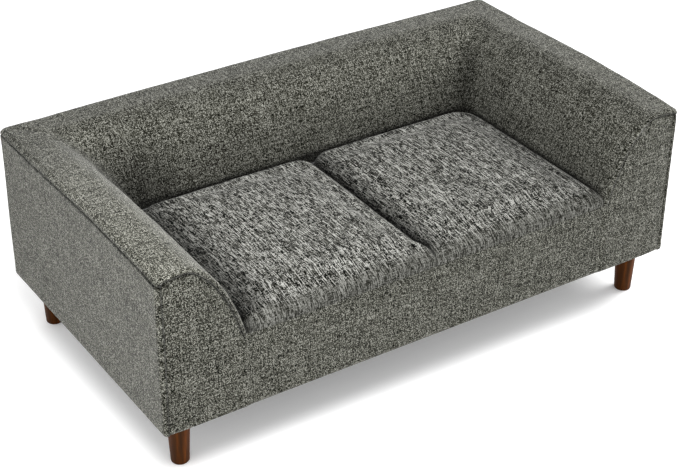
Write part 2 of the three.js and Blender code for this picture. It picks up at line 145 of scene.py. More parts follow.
# Cushions
STUFFING_PRESSURE = 4.0
STUFFING_STEPS = 20
STUFFING_SWELL = 0.004
CUSHION_SWELL = 0.0011
CUSHION_FORWARD = 0.0008
PAD_OUTER_REAR = 0.050
PAD_INNER_REAR = 0.034
PAD_INNER_FRONT = 0.002
PAD_OUTER_FRONT = 0.006
PAD_ROLL = 0.022
PAD_FRONT_ROLL = 0.050
PAD_EDGE_RISE = 0.028
PAD_SIDE_WALL = 0.004
PAD_FRONT_WALL = 0.007
PAD_SIDE_ROUNDING = 0.003
PAD_FRONT_ROUNDING = 0.0006
PAD_CORNER_STEPS = 9
PAD_SIDE_STEPS = 44
PAD_ROLL_STEPS = 9
PAD_TOP_STEPS = 24
# Painted shade on the cushions (the _SHADE values): at their edges, along the line where they meet in front,
# in the pocket by the left arm, on the left cushion's front and on the sides that face left
PAD_EDGE_SHADE = 0.55
FRONT_LINE_SHADE = 0.75
FRONT_CALM = 0.45
POCKET_SHADE = {"left": 0.6, "right": 0.0}
PAD_FRONT_SHADE = {"left": 0.06, "right": 0.0}
PAD_SIDE_SHADE = {"left": 0.85, "right": 0.55}
PAD_SIDE_SHADE_REACH = {"left": 0.090, "right": 0.046}

# Legs, linings and small parts
LEG_PLACES = ("front_left", "front_right", "back_left", "back_right")
LEG_FOOT_SHARE = 15 / 19
LEG_ROUNDING = 0.003
LEG_SEGMENTS = 96
LINING_STEP = 0.006
LINING_SETBACK = 0.019
LINING_RIPPLE = 0.0002
LINING_THICKNESS = 0.0009
DUST_STEP = 0.007
DUST_INSET = 0.012
DUST_THICKNESS = 0.0007
BOLT_HOLE = 0.010
STAPLE_INSET = 0.016
STAPLE_SPACING = 0.045
STAPLE_WIDTH = 0.010
STAPLE_RADIUS = 0.0004
STAPLE_PATH = ((-1, 0.005), (-1, 0.0012), (-0.93, 0.0002), (0.93, 0.0002), (1, 0.0012), (1, 0.005))
TAPE_THICKNESS = 0.0008
STITCH = 0.0030
STITCH_PATH = ((0, 0), (0.2, 0.0005), (0.5, 0.0005), (0.7, 0))
THREAD_RADIUS = 0.00022
TOOTH = 0.0020
TOOTH_PATH = ((-0.0006, 0.0021), (0.0003, 0.0016), (0.0005, 0), (0.0002, -0.0009))
SLIDER_LENGTH = 0.008

# Shares and sizes in the materials
# Painted shade on the wall cover: in the valleys, on the inner slopes, on the far tops, at the back's left
# end and low behind the cushions
VALLEY_SHADE = 0.55
INNER_SHADE = 0.17
FAR_TOP_SHADE = 0.24
LEFT_END_SHADE = 0.60
FOOT_SHADE = 0.25
YARN_OWN = 0.16
YARN_STRAY = 1.6
STRAY_SCALE = 0.12
YARN_APART = 7.31
YARN_SHIFT = 53.0
WEFT_SLUB = 0.7
CHECKER_SHARE = 0.45
# Painted shade on each yarn: how much darker its edges and the gaps between yarns are than its crown
YARN_GAP_SHADE = 0.40
YARN_GAP_SHADE_LEVEL = -0.30
HUE_SHARE = 0.20
CLOUD_SHARE = 0.10
DASH_SHARE = 0.6
CALM_TONE = 0.60
STREAK_WIDTH = 0.0030
STREAK_LENGTH = 0.060

# Camera, as the object is seen from the front left and above
CAMERA_PLACE = (-1.3809, -2.0998, 1.6720)
CAMERA_AZIMUTH = math.radians(-33.229)
CAMERA_ELEVATION = math.radians(31.405)
CAMERA_ROLL = math.radians(0.195)
CAMERA_LENS = 89.17
SENSOR_WIDTH = 36.0

# Studio
FLOOR_HALF = 12.0
FLOOR_GLOW = 0.17
DOME = 1.02
KEY_PLACE = (-0.60, -0.46, 1.04)
KEY_TARGET = (-0.44, -0.16, 0.36)
KEY_SIZE = 0.6
KEY_POWER = 8.5
RIM_PLACE = (1.5, -0.3, 1.2)
RIM_TARGET = (-0.40, -0.10, 0.35)
RIM_SIZE = 0.8
RIM_POWER = 24


# ---------------------------------------------------------------- mesh helpers

def smooth(low, high, value):
    """0 below low, 1 above high, and an eased ramp between them."""
    t = np.clip((np.asarray(value, float) - low) / (high - low), 0, 1)
    return t * t * (3 - 2 * t)


def wave(points, size, seed):
    """Smooth noise of about -1 to 1 at each point, with features of that size."""
    shift = Vector((seed * 7.31, seed * 3.17, seed * 5.71))
    return np.array([noise.noise(Vector(p) / size + shift) for p in points])


def link(name, mesh):
    made = bpy.data.objects.new(name, mesh)
    bpy.context.scene.collection.objects.link(made)
    return made


def grid_faces(rows, columns):
    """Quads of a grid of points stored row by row."""
    index = np.arange(rows * columns).reshape(rows, columns)
    return np.stack(
        [index[:-1, :-1], index[:-1, 1:], index[1:, 1:], index[1:, :-1]], axis=-1
    ).reshape(-1, 4)


def make_mesh(name, points, faces, corner_uvs=None):
    """A smooth-shaded mesh; corner_uvs gives each face corner its place on the cloth, in metres."""
    mesh = bpy.data.meshes.new(name)
    mesh.from_pydata([tuple(p) for p in points], [], [tuple(f) for f in faces])
    if corner_uvs is not None:
        layer = mesh.uv_layers.new(name="weave")
        layer.data.foreach_set("uv", np.asarray(corner_uvs, np.float32).ravel())
    mesh.validate()
    mesh.polygons.foreach_set("use_smooth", [True] * len(mesh.polygons))
    mesh.update()
    return mesh


def vertex_array(mesh, key="co"):
    """Every vertex's place, or its normal, as rows of an array."""
    values = np.zeros(len(mesh.vertices) * 3)
    mesh.vertices.foreach_get(key, values)
    return values.reshape(-1, 3)


def set_vertices(mesh, points):
    """Moves every vertex to its row of the array."""
    mesh.vertices.foreach_set("co", points.ravel())
    mesh.update()


def bake_modifiers(obj):
    """Replaces the object's mesh by what its modifiers make of it."""
    evaluated = obj.evaluated_get(bpy.context.evaluated_depsgraph_get())
    mesh = bpy.data.meshes.new_from_object(evaluated)
    obj.modifiers.clear()
    obj.data = mesh


def shell(obj, thickness=CLOTH):
    """Gives a surface its cloth's thickness, towards its inner side."""
    merge = obj.modifiers.new("merge", "WELD")
    merge.merge_threshold = 0.00002
    solid = obj.modifiers.new("cloth", "SOLIDIFY")
    solid.thickness = thickness
    solid.offset = -1
    bake_modifiers(obj)


def line_of(x, y, z):
    """A line of points from lists or single values of x, y and z."""
    return np.stack(np.broadcast_arrays(x, y, z), -1)


def cloth_grid(name, places, uv_parts, material, facing):
    """A cloth piece from a grid of places, rows by columns.

    uv_parts are (first column, last column, uv grid), and facing is -1 to turn its faces over.
    """
    rows, columns = places.shape[:2]
    faces = grid_faces(rows, columns)
    corner_uvs = np.zeros((rows - 1, columns - 1, 4, 2))
    for first, last, uv in uv_parts:
        part = slice(first, last)
        after = slice(first + 1, last + 1)
        corner_uvs[:, part, 0] = uv[:-1, part]
        corner_uvs[:, part, 1] = uv[:-1, after]
        corner_uvs[:, part, 2] = uv[1:, after]
        corner_uvs[:, part, 3] = uv[1:, part]
    corner_uvs = corner_uvs.reshape(-1, 4, 2)
    if facing < 0:
        faces = faces[:, ::-1]
        corner_uvs = corner_uvs[:, ::-1]
    made = link(name, make_mesh(name, places.reshape(-1, 3), faces, corner_uvs))
    made.data.materials.append(material)
    return made


def relief(obj, amounts):
    """Moves each vertex out along its normal."""
    points = vertex_array(obj.data)
    normals = vertex_array(obj.data, "normal")
    set_vertices(obj.data, points + normals * np.asarray(amounts)[:, None])


def declare_cover(places):
    """Works out the longest unrolled column of a cover's grid; nothing is done with it."""
    width = max(run_length(column)[-1] for column in places.transpose(1, 0, 2))


def mark(obj, name, amounts):
    """Stores a share from 0 to 1 for each vertex, which the cloth's material reads by its name."""
    attribute = obj.data.attributes.new(name, "FLOAT", "POINT")
    attribute.data.foreach_set("value", np.clip(amounts, 0, 1).astype(np.float32))


def adopt(obj, body, slot, *replaced):
    """Makes a piece ride a body, in the place of the frame's nodes that it replaces."""
    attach(obj, body)
    if replaced:
        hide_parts(*replaced)


def hanging_folds(points, broad, fine):
    """Relief of two waves given as (height, size, seed); the fine one is drawn out upright."""
    drawn_out = wave(points * (1, 1, 0.4), *fine[1:])
    return broad[0] * wave(points, *broad[1:]) + fine[0] * drawn_out


def pucker(points, height, size, seed, distance, reach):
    """Relief of a seam's gathers, which die out with the distance from it."""
    return height * wave(points, size, seed) * np.exp(-distance / reach)


def finish_cover(made, places, painted_shades, amounts, replaced):
    """Gives a body cover its painted shade, relief and thickness."""
    mark(made, "painted_shade", painted_shades)
    relief(made, amounts)
    shell(made)
    adopt(made, "frame", "body_fabric", *replaced)
    declare_cover(places)


# ---------------------------------------------------------------- materials

def linear(hex_colour):
    """Linear RGBA of an sRGB colour given as 0xRRGGBB."""
    shares = [((hex_colour >> shift) & 255) / 255 for shift in (16, 8, 0)]
    return tuple(s / 12.92 if s <= 0.04045 else ((s + 0.055) / 1.055) ** 2.4 for s in shares) + (1.0,)


class Nodes:
    """A small writer for one material's node tree."""

    def __init__(self, name):
        self.material = bpy.data.materials.new(name)
        self.material.use_nodes = True
        self.tree = self.material.node_tree
        self.shader = self.tree.nodes["Principled BSDF"]

    def add(self, kind, inputs=(), **settings):
        node = self.tree.nodes.new(kind)
        for key, value in settings.items():
            setattr(node, key, value)
        for key, value in dict(inputs).items():
            self.put(value, node.inputs[key])
        return node

    def put(self, value, socket):
        if isinstance(value, bpy.types.NodeSocket):
            self.tree.links.new(value, socket)
        else:
            socket.default_value = value

    def maths(self, operation, *values, clamp=False):
        node = self.add("ShaderNodeMath", operation=operation, use_clamp=clamp)
        for socket, value in zip(node.inputs, values):
            self.put(value, socket)
        return node.outputs[0]

    def mix(self, share, first, second):
        node = self.add("ShaderNodeMix", data_type="FLOAT", inputs={0: share, 2: first, 3: second})
        return node.outputs[0]

    def swing(self, share, amount):
        """A share from 0 to 1 turned into a change from -amount / 2 to amount / 2."""
        return self.maths("MULTIPLY_ADD", share, amount, -amount / 2)

    def colour_mix(self, share, first, second, blend="MIX"):
        node = self.add("ShaderNodeMix", data_type="RGBA", blend_type=blend)
        self.put(share, node.inputs[0])
        self.put(first, node.inputs[6])
        self.put(second, node.inputs[7])
        return node.outputs[2]

    def ramp(self, share, stops):
        node = self.add("ShaderNodeValToRGB", inputs={0: share})
        while len(node.color_ramp.elements) < len(stops):
            node.color_ramp.elements.new(0.5)
        for element, (position, colour) in zip(node.color_ramp.elements, stops):
            element.position = position
            element.color = colour
        return node.outputs[0]

    def scaled(self, vector, factors):
        node = self.add("ShaderNodeVectorMath", operation="MULTIPLY")
        self.put(vector, node.inputs[0])
        node.inputs[1].default_value = factors
        return node.outputs[0]

    def noise(self, vector, scale, detail=2.0, roughness=0.5):
        return self.add(
            "ShaderNodeTexNoise",
            inputs={"Vector": vector, "Scale": scale, "Detail": detail, "Roughness": roughness},
        ).outputs[0]

    def object_place(self):
        return self.add("ShaderNodeTexCoord").outputs["Object"]

    def bump(self, height, strength, distance):
        node = self.add(
            "ShaderNodeBump", inputs={"Height": height, "Strength": strength, "Distance": distance}
        )
        self.put(node.outputs[0], self.shader.inputs["Normal"])

    def finish(self, colour, roughness, **values):
        self.put(colour, self.shader.inputs["Base Color"])
        self.put(roughness, self.shader.inputs["Roughness"])
        for key, value in values.items():
            self.shader.inputs[key.replace("_", " ")].default_value = value
        return self.material


def yarns(nodes, across, along, pitch, slub, seed):
    """(index, tone, crown) of one set of yarns: each has a tone of its own, which changes along it."""
    count = nodes.maths("DIVIDE", across, pitch)
    index = nodes.maths("FLOOR", count)
    own = nodes.add("ShaderNodeTexWhiteNoise", noise_dimensions="1D")
    nodes.put(nodes.maths("ADD", index, seed), own.inputs["W"])
    run = nodes.maths("DIVIDE", along, slub)
    run = nodes.maths("MULTIPLY_ADD", own.outputs["Value"], YARN_SHIFT, run)
    apart = nodes.maths("MULTIPLY", index, YARN_APART)
    place = nodes.add("ShaderNodeCombineXYZ", inputs={0: apart, 1: run, 2: seed})
    soft = nodes.noise(place.outputs[0], 1.0, 2.0, 0.7)
    dash = nodes.add("ShaderNodeTexWhiteNoise", noise_dimensions="3D")
    step = nodes.maths("FLOOR", run)
    spot = nodes.add("ShaderNodeCombineXYZ", inputs={0: index, 1: step, 2: seed})
    nodes.put(spot.outputs[0], dash.inputs["Vector"])
    slubs = nodes.mix(DASH_SHARE, soft, dash.outputs["Value"])
    tone = nodes.maths("ADD", slubs, nodes.swing(own.outputs["Value"], YARN_OWN))
    crown = nodes.maths("ABSOLUTE", nodes.maths("SINE", nodes.maths("MULTIPLY", count, math.pi)))
    return index, tone, crown


def strayed(nodes, cloth, pitch):
    """The cloth's two coordinates, shifted a little so that no yarn runs quite straight."""
    stray = nodes.add(
        "ShaderNodeTexNoise", inputs={"Vector": cloth, "Scale": STRAY_SCALE / pitch, "Detail": 1.0}
    )
    bend = nodes.add("ShaderNodeVectorMath", operation="MULTIPLY_ADD")
    nodes.put(stray.outputs["Color"], bend.inputs[0])
    bend.inputs[1].default_value = (pitch * YARN_STRAY, pitch * YARN_STRAY, 0)
    nodes.put(cloth, bend.inputs[2])
    parts = nodes.add("ShaderNodeSeparateXYZ", inputs={0: bend.outputs[0]}).outputs
    return parts[0], parts[1]


def crossings(nodes, across, up, pitch, slub, lean):
    """(tone, crown, chance) of the yarn that lies on top at each crossing of the weave."""
    column, warp, warp_crown = yarns(nodes, across, up, pitch, slub, 3.0)
    row, weft, weft_crown = yarns(nodes, up, across, pitch, slub * WEFT_SLUB, 11.0)
    crossing = nodes.add("ShaderNodeTexWhiteNoise", noise_dimensions="2D")
    spot = nodes.add("ShaderNodeCombineXYZ", inputs={0: column, 1: row})
    nodes.put(spot.outputs[0], crossing.inputs["Vector"])
    chance = crossing.outputs["Value"]
    checker = nodes.maths("FLOORED_MODULO", nodes.maths("ADD", column, row), 2.0)
    over = nodes.maths("MULTIPLY", chance, 1 - CHECKER_SHARE)
    over = nodes.maths("MULTIPLY_ADD", checker, CHECKER_SHARE, over)
    over = nodes.maths("LESS_THAN", over, lean)
    return nodes.mix(over, weft, warp), nodes.mix(over, weft_crown, warp_crown), chance


def with_painted_shade(nodes, colour):
    """The colour, darkened by the painted shade shares that the piece stores for each vertex."""
    painted_shade = nodes.add("ShaderNodeAttribute", attribute_name="painted_shade").outputs["Fac"]
    # Painted shade: the stored share darkens the colour towards black
    lit = nodes.maths("MULTIPLY_ADD", painted_shade, -PAINTED_SHADE_STRENGTH, 1.0)
    grey = nodes.add("ShaderNodeCombineXYZ", inputs={0: lit, 1: lit, 2: lit}).outputs[0]
    return nodes.colour_mix(1.0, colour, grey, "MULTIPLY")


def tweed(name, stops, pitch, slub, contrast, fleck, lean, sheen, tint, hatch):
    """A weave of slubby heathered yarns, laid out by the piece's own cloth coordinates in metres.

    lean is the share of crossings where the yarns that run up the cloth lie on top, and fleck is how much
    the tone changes from one crossing to the next. hatch is the strength of the faint long streaks that
    thicker yarns leave both ways.
    """
    nodes = Nodes(name)
    cloth = nodes.add("ShaderNodeUVMap", uv_map="weave").outputs[0]
    across, up = strayed(nodes, cloth, pitch)
    tone, crown, chance = crossings(nodes, across, up, pitch, slub, lean)
    tone = nodes.maths("MULTIPLY_ADD", nodes.maths("SUBTRACT", tone, 0.5), contrast, 0.5)
    cloud = nodes.noise(cloth, 22.0, 3.0, 0.6)
    changes = [nodes.swing(chance, fleck), nodes.swing(cloud, CLOUD_SHARE)]
    fine, long = 1 / STREAK_WIDTH, 1 / STREAK_LENGTH
    for factors in ((fine, long, 1), (long, fine, 1)):
        changes.append(nodes.swing(nodes.noise(nodes.scaled(cloth, factors), 1.0, 1.0), hatch))
    for change in changes:
        tone = nodes.maths("ADD", tone, change)
    # Painted shade: each yarn darker towards its edges and in the gaps, lighter on its crown
    depth = nodes.maths("MULTIPLY_ADD", nodes.maths("POWER", crown, 0.6), YARN_GAP_SHADE, YARN_GAP_SHADE_LEVEL)
    tone = nodes.maths("ADD", tone, depth, clamp=True)
    calm = nodes.add("ShaderNodeAttribute", attribute_name="calm").outputs["Fac"]
    tone = nodes.mix(calm, tone, CALM_TONE)
    hue = nodes.maths("MULTIPLY", nodes.noise(cloth, 0.3 / pitch, 2.0), HUE_SHARE)
    colour = nodes.colour_mix(hue, nodes.ramp(tone, stops), tint, "SOFT_LIGHT")
    nodes.bump(nodes.maths("ADD", crown, nodes.maths("MULTIPLY", tone, 0.8)), 0.5, 0.0006)
    return nodes.finish(
        with_painted_shade(nodes, colour), 0.95, Sheen_Weight=sheen, Sheen_Roughness=0.28,
        Sheen_Tint=(0.93, 0.93, 0.90, 1.0), Specular_IOR_Level=0.06,
    )


def grey_stops(values, warm):
    """Ramp stops of greys of these sRGB values, evenly spread, with blue lowered by warm."""
    greys = [linear((value << 16) | (value << 8) | max(value - warm, 0)) for value in values]
    return [(i / (len(values) - 1), grey) for i, grey in enumerate(greys)]


def plain_cloth(name, colour, pitch):
    """A thin spun cloth, such as the lining and the dust cover."""
    nodes = Nodes(name)
    place = nodes.object_place()
    fibres = nodes.noise(nodes.scaled(place, (1 / pitch, 0.35 / pitch, 1 / pitch)), 1.0, 3.0, 0.6)
    dots = nodes.add(
        "ShaderNodeTexVoronoi", inputs={"Vector": place, "Scale": 0.45 / pitch, "Randomness": 0.1}
    ).outputs["Distance"]
    dark = tuple(c * 0.55 for c in colour[:3]) + (1.0,)
    pale = tuple(min(c * 1.7 + 0.01, 1) for c in colour[:3]) + (1.0,)
    shade = nodes.ramp(fibres, [(0.3, dark), (0.55, colour), (0.8, pale)])
    nodes.bump(nodes.maths("ADD", fibres, nodes.maths("MULTIPLY", dots, 0.8)), 0.5, 0.0004)
    return nodes.finish(shade, 0.85, Sheen_Weight=0.15, Specular_IOR_Level=0.3)


def timber(name, dark, mid, pale, ring, grain_axis, gloss):
    """Wood with growth rings and fine pores along one axis of the part."""
    nodes = Nodes(name)
    place = nodes.object_place()
    along = [1.0, 1.0, 1.0]
    along[grain_axis] = 0.07
    stretched = nodes.scaled(place, tuple(along))
    bend = nodes.noise(stretched, 18.0, 3.0)
    rings = nodes.noise(stretched, 1 / ring, 4.0, 0.62)
    pores = nodes.noise(nodes.scaled(stretched, (1, 1, 0.5)), 900.0, 2.0, 0.7)
    tone = nodes.maths("ADD", nodes.maths("MULTIPLY", rings, 0.75), nodes.maths("MULTIPLY", bend, 0.25))
    shade = nodes.ramp(tone, [(0.32, dark), (0.5, mid), (0.68, pale)])
    pits = nodes.ramp(pores, [(0.3, (0.45, 0.45, 0.45, 1)), (0.46, (1, 1, 1, 1))])
    shade = nodes.colour_mix(0.6, shade, pits, "MULTIPLY")
    nodes.bump(nodes.maths("ADD", tone, nodes.maths("MULTIPLY", pores, 0.4)), 0.18, 0.0004)
    rough = nodes.maths("MULTIPLY_ADD", pores, 0.25, gloss)
    return nodes.finish(shade, rough, Specular_IOR_Level=0.14, Specular_Tint=(1.0, 0.72, 0.40, 1.0))


def plywood_material():
    """Birch ply: a face grain with the plies' stripes on its cut edges."""
    nodes = Nodes("plywood")
    place = nodes.object_place()
    grain = nodes.noise(nodes.scaled(place, (0.6, 6.0, 6.0)), 40.0, 4.0, 0.6)
    plies = nodes.add("ShaderNodeTexWave", inputs={
        "Vector": place, "Scale": 110.0, "Distortion": 1.5, "Detail": 1.0,
    }).outputs["Fac"]
    tones = [(0.3, linear(0xA98555)), (0.55, linear(0xCBA876)), (0.8, linear(0xDCC196))]
    shade = nodes.ramp(grain, tones)
    stripe = nodes.ramp(plies, [(0.2, (0.72, 0.66, 0.58, 1)), (0.6, (1, 1, 1, 1))])
    shade = nodes.colour_mix(0.35, shade, stripe, "MULTIPLY")
    nodes.bump(grain, 0.25, 0.0005)
    return nodes.finish(shade, 0.72)


def foam_material():
    """Open-celled upholstery foam."""
    nodes = Nodes("foam")
    place = nodes.object_place()
    cells = nodes.add(
        "ShaderNodeTexVoronoi", inputs={"Vector": place, "Scale": 420.0}
    ).outputs["Distance"]
    patches = nodes.noise(place, 14.0, 3.0)
    shade = nodes.ramp(patches, [(0.3, linear(0xD8CDA6)), (0.7, linear(0xECE4C9))])
    holes = nodes.ramp(cells, [(0.1, (0.7, 0.66, 0.55, 1)), (0.45, (1, 1, 1, 1))])
    nodes.bump(cells, 0.5, 0.001)
    return nodes.finish(nodes.colour_mix(0.5, shade, holes, "MULTIPLY"), 0.95)


def metal(name, colour, worn, roughness):
    """Plated metal with brushed streaks and dull patches."""
    nodes = Nodes(name)
    place = nodes.object_place()
    streaks = nodes.noise(nodes.scaled(place, (1, 1, 14)), 260.0, 3.0)
    patches = nodes.noise(place, 60.0, 4.0, 0.65)
    dull = nodes.ramp(patches, [(0.4, (0, 0, 0, 1)), (0.7, (1, 1, 1, 1))])
    shade = nodes.colour_mix(dull, colour, worn)
    rough = nodes.maths("MULTIPLY_ADD", patches, 0.3, roughness)
    nodes.bump(streaks, 0.12, 0.0002)
    return nodes.finish(shade, rough, Metallic=1.0)


BODY_TWEED = tweed(
    "body_tweed", grey_stops([2, 15, 45, 79, 117, 157], 8), pitch=0.0013, slub=0.0024, contrast=1.45,
    fleck=0.62, lean=0.52, sheen=0.28, tint=linear(0x86847A), hatch=0.38,
)
CUSHION_TWEED = tweed(
    "cushion_tweed", grey_stops([0, 10, 42, 83, 127, 170], 5), pitch=0.0013, slub=0.0100, contrast=1.9,
    fleck=0.40, lean=0.74, sheen=0.10, tint=linear(0x838280), hatch=0.35,
)
LINING = plain_cloth("lining_cloth", linear(0x2A2A2B), 0.0011)
DUST_CLOTH = plain_cloth("dust_cloth", linear(0x1D1D1E), 0.0009)
FOAM = foam_material()
PLYWOOD = plywood_material()
PINE = timber("pine", linear(0xB48A55), linear(0xD6B07A), linear(0xE6CB9C), 0.012, 0, 0.55)
WALNUT = timber("walnut", linear(0x170700), linear(0x3A1900), linear(0x602E04), 0.009, 2, 0.42)
STEEL = metal("zinc_steel", linear(0xC3C5C8), linear(0x9DA0A4), 0.28)
ZIP_METAL = metal("zip_metal", linear(0x77777A), linear(0x55565A), 0.3)
ZIP_TAPE = plain_cloth("zip_tape", linear(0x4A4A47), 0.0006)
THREAD = plain_cloth("thread", linear(0x6C6B66), 0.0003)


# ---------------------------------------------------------------- the wall's shape

def wall_outline():
    """(in, up) points of the wall's section, from the outer top seam over the top and down to the deck."""
    angles = np.linspace(math.pi, math.pi / 2, 9)
    centre = np.array([TOP_EDGE_RADIUS, BODY_HEIGHT - TOP_EDGE_RADIUS])
    edge = centre + TOP_EDGE_RADIUS * np.stack([np.cos(angles), np.sin(angles)], axis=1)
    flat = np.stack([np.linspace(TOP_EDGE_RADIUS, TOP_FLAT, 9)[1:-1], np.full(7, BODY_HEIGHT)], axis=1)
    t = np.linspace(0, 1, 46)[:, None]
    controls = np.array([
        (TOP_FLAT, BODY_HEIGHT),
        (TOP_FLAT + CREST_PULL, BODY_HEIGHT),
        (ARM_THICKNESS - FOOT_PULL_IN, APRON_HEIGHT + FOOT_PULL_UP),
        (ARM_THICKNESS, APRON_HEIGHT),
    ])
    weights = np.hstack([(1 - t) ** 3, 3 * t * (1 - t) ** 2, 3 * t * t * (1 - t), t ** 3])
    slope = weights @ controls
    foot = np.array([(ARM_THICKNESS, DECK_TOP - BODY_BOTTOM + 0.0005)])
    return np.vstack([edge, flat, slope, foot])


def outward(section):
    """Unit normals of a section, pointing out of the wall."""
    along = np.gradient(section, axis=0)
    along /= np.linalg.norm(along, axis=1, keepdims=True)
    return np.stack([-along[:, 1], along[:, 0]], axis=1)


def run_length(points):
    """Distance along a line of points, from its first."""
    steps = np.linalg.norm(np.diff(points, axis=0), axis=-1)
    return np.concatenate([[0], np.cumsum(steps)])


def crown(x, y):
    """How far the top edges stand above their own height: a soft swell along each arm and the back."""
    along_arm = np.clip(1 - ((y + 0.05) / 0.21) ** 2, 0, 1) ** 1.5
    on_arm = smooth(WELL_HALF - 0.01, WELL_HALF + 0.05, np.abs(x))
    along_back = np.clip(1 - (x / (HALF_LENGTH - 0.06)) ** 2, 0, 1) ** 1.5
    on_back = smooth(WELL_BACK - 0.01, WELL_BACK + 0.05, y)
    near_front = smooth(HALF_DEPTH - 0.045, HALF_DEPTH, -y)
    front_corner = near_front * smooth(HALF_LENGTH - 0.04, HALF_LENGTH, np.abs(x))
    swell = ARM_CROWN * along_arm * on_arm + BACK_CROWN * along_back * on_back
    return swell - CORNER_DROP * front_corner


def lift(places):
    """Raises the top of a cover by the crown, and leaves its lower half alone."""
    share = smooth(0.45, 1.0, (places[..., 2] - BODY_BOTTOM) / BODY_HEIGHT)
    places[..., 2] += crown(places[..., 0], places[..., 1]) * share
    return places


def corner_radius(depth_in):
    """The plan radius of the corner between arm and back, at a distance in from the outer faces."""
    on_top = smooth(0, TOP_FLAT, depth_in)
    on_slope = smooth(TOP_FLAT, ARM_THICKNESS, depth_in)
    return REAR_CORNER + (CREST_CORNER - REAR_CORNER) * on_top + (SEAT_CORNER - CREST_CORNER) * on_slope


def front_roll():
    """(distance out of the section, y) from inside the front face's seam round onto the arm."""
    angles = np.radians([90, 72, 54, 36, 18])
    arc = [
        (FRONT_ROLL * (1 - math.cos(a)), -HALF_DEPTH + FRONT_ROLL * (1 - math.sin(a))) for a in angles
    ]
    seam = FRONT_ROLL + SEAM_REACH
    tuck = [
        (seam + 0.0004, -HALF_DEPTH + SEAM_DEPTH),
        (seam + 0.0002, -HALF_DEPTH + SEAM_DEPTH * 0.5),
        (seam - 0.0008, -HALF_DEPTH + 0.0008),
        (seam - 0.0024, -HALF_DEPTH + 0.0001),
    ]
    return tuck + arc


def seam_shade(from_cut_edge):
    """The painted seam shade share by the distance along the cloth from its cut edge, which lies inside a
    seam.
    """
    return SEAM_SHADE * smooth(SEAM_SHADE_FAR, SEAM_SHADE_NEAR, from_cut_edge)


def wall_shade(points):
    """The painted shade share in the two valleys, at the back's left end, on the inner slopes, low behind
    the cushions and on the far tops.
    """
    height = points[:, 2] - BODY_BOTTOM
    from_valley = (WELL_HALF - np.abs(points[:, 0])) - (WELL_BACK - points[:, 1])
    inside = smooth(BODY_HEIGHT, BODY_HEIGHT - 0.06, height)
    valley = VALLEY_SHADE * np.exp(-(from_valley / VALLEY_WIDTH) ** 2) * inside
    from_left_arm = points[:, 0] + WELL_HALF
    on_back = smooth(WELL_BACK - 0.06, WELL_BACK, points[:, 1])
    left_end = LEFT_END_SHADE * smooth(LEFT_END_REACH, 0.02, from_left_arm) * on_back
    left_end = left_end * smooth(BODY_HEIGHT, BODY_HEIGHT - 0.09, height)
    foot = smooth(*FOOT_LINE, height) + FOOT_SHADE * smooth(*FOOT_REACH, height)
    foot *= smooth(-HALF_DEPTH + 0.004, -HALF_DEPTH + 0.030, points[:, 1])
    # Painted shade on the inner slopes and on the back's and right arm's tops, standing in for less light
    # there than on the left arm
    slope = INNER_SHADE * smooth(BODY_HEIGHT - 0.01, BODY_HEIGHT - 0.08, height)
    on_right_arm = smooth(WELL_HALF, WELL_HALF + 0.04, points[:, 0])
    far_top = FAR_TOP_SHADE * smooth(BODY_HEIGHT - 0.03, BODY_HEIGHT - 0.005, height)
    far_top = far_top * np.maximum(on_back, on_right_arm)
    return np.clip(np.maximum.reduce([valley, left_end, slope, far_top]) + foot, 0, 1)


def tucked_section():
    """(section, normals) of the wall, with its outer edge drawn into the top seam."""
    section = wall_outline()
    normals = outward(section)
    tuck = np.array([(depth, section[0, 1] + rise) for depth, rise in SEAM_LIP])
    held = np.repeat(normals[:1], len(tuck), axis=0)
    return np.vstack([tuck, section[2:]]), np.vstack([held, normals[2:]])


def wall_columns(section, normals):
    """The cover's left half, column by column: along the arm and round the corner to the back's middle."""
    into, up = section.T
    radius = corner_radius(into)
    arm_x = HALF_LENGTH - into
    back_y = HALF_DEPTH - into * BACK_STRETCH
    start = -HALF_DEPTH + FRONT_ROLL
    columns = []
    for out, y in front_roll():
        columns.append(line_of(-arm_x - normals[:, 0] * out, y, up - normals[:, 1] * out))
    for share in np.linspace(0, 1, ARM_COLUMNS + 1)[:-1]:
        columns.append(line_of(-arm_x, start + (back_y - radius - start) * share, up))
    for angle in np.linspace(math.pi, math.pi / 2, ARC_COLUMNS):
        x = -arm_x + radius + radius * math.cos(angle)
        y = back_y - radius + radius * math.sin(angle)
        columns.append(line_of(x, y, up))
    middle = -arm_x + radius
    for share in np.linspace(0, 1, BACK_COLUMNS + 1)[1:]:
        columns.append(line_of(middle * (1 - share), back_y, up))
    return np.stack(columns, axis=1)


def wall_cloth(along, depth):
    """uv parts: each arm is laid out from its front edge and the back from its middle."""
    last = along.shape[1] - 1
    centre = last // 2
    mitre = centre - BACK_COLUMNS - ARC_COLUMNS // 2
    from_centre = along - along[:, centre:centre + 1]
    from_right = along[:, -1:] - along
    return [
        (0, mitre, np.stack([along + CUT_PLACES["left_arm"], depth], -1)),
        (mitre, last - mitre, np.stack([from_centre + CUT_PLACES["back"], depth], -1)),
        (last - mitre, last, np.stack([from_right + CUT_PLACES["right_arm"], depth], -1)),
    ]


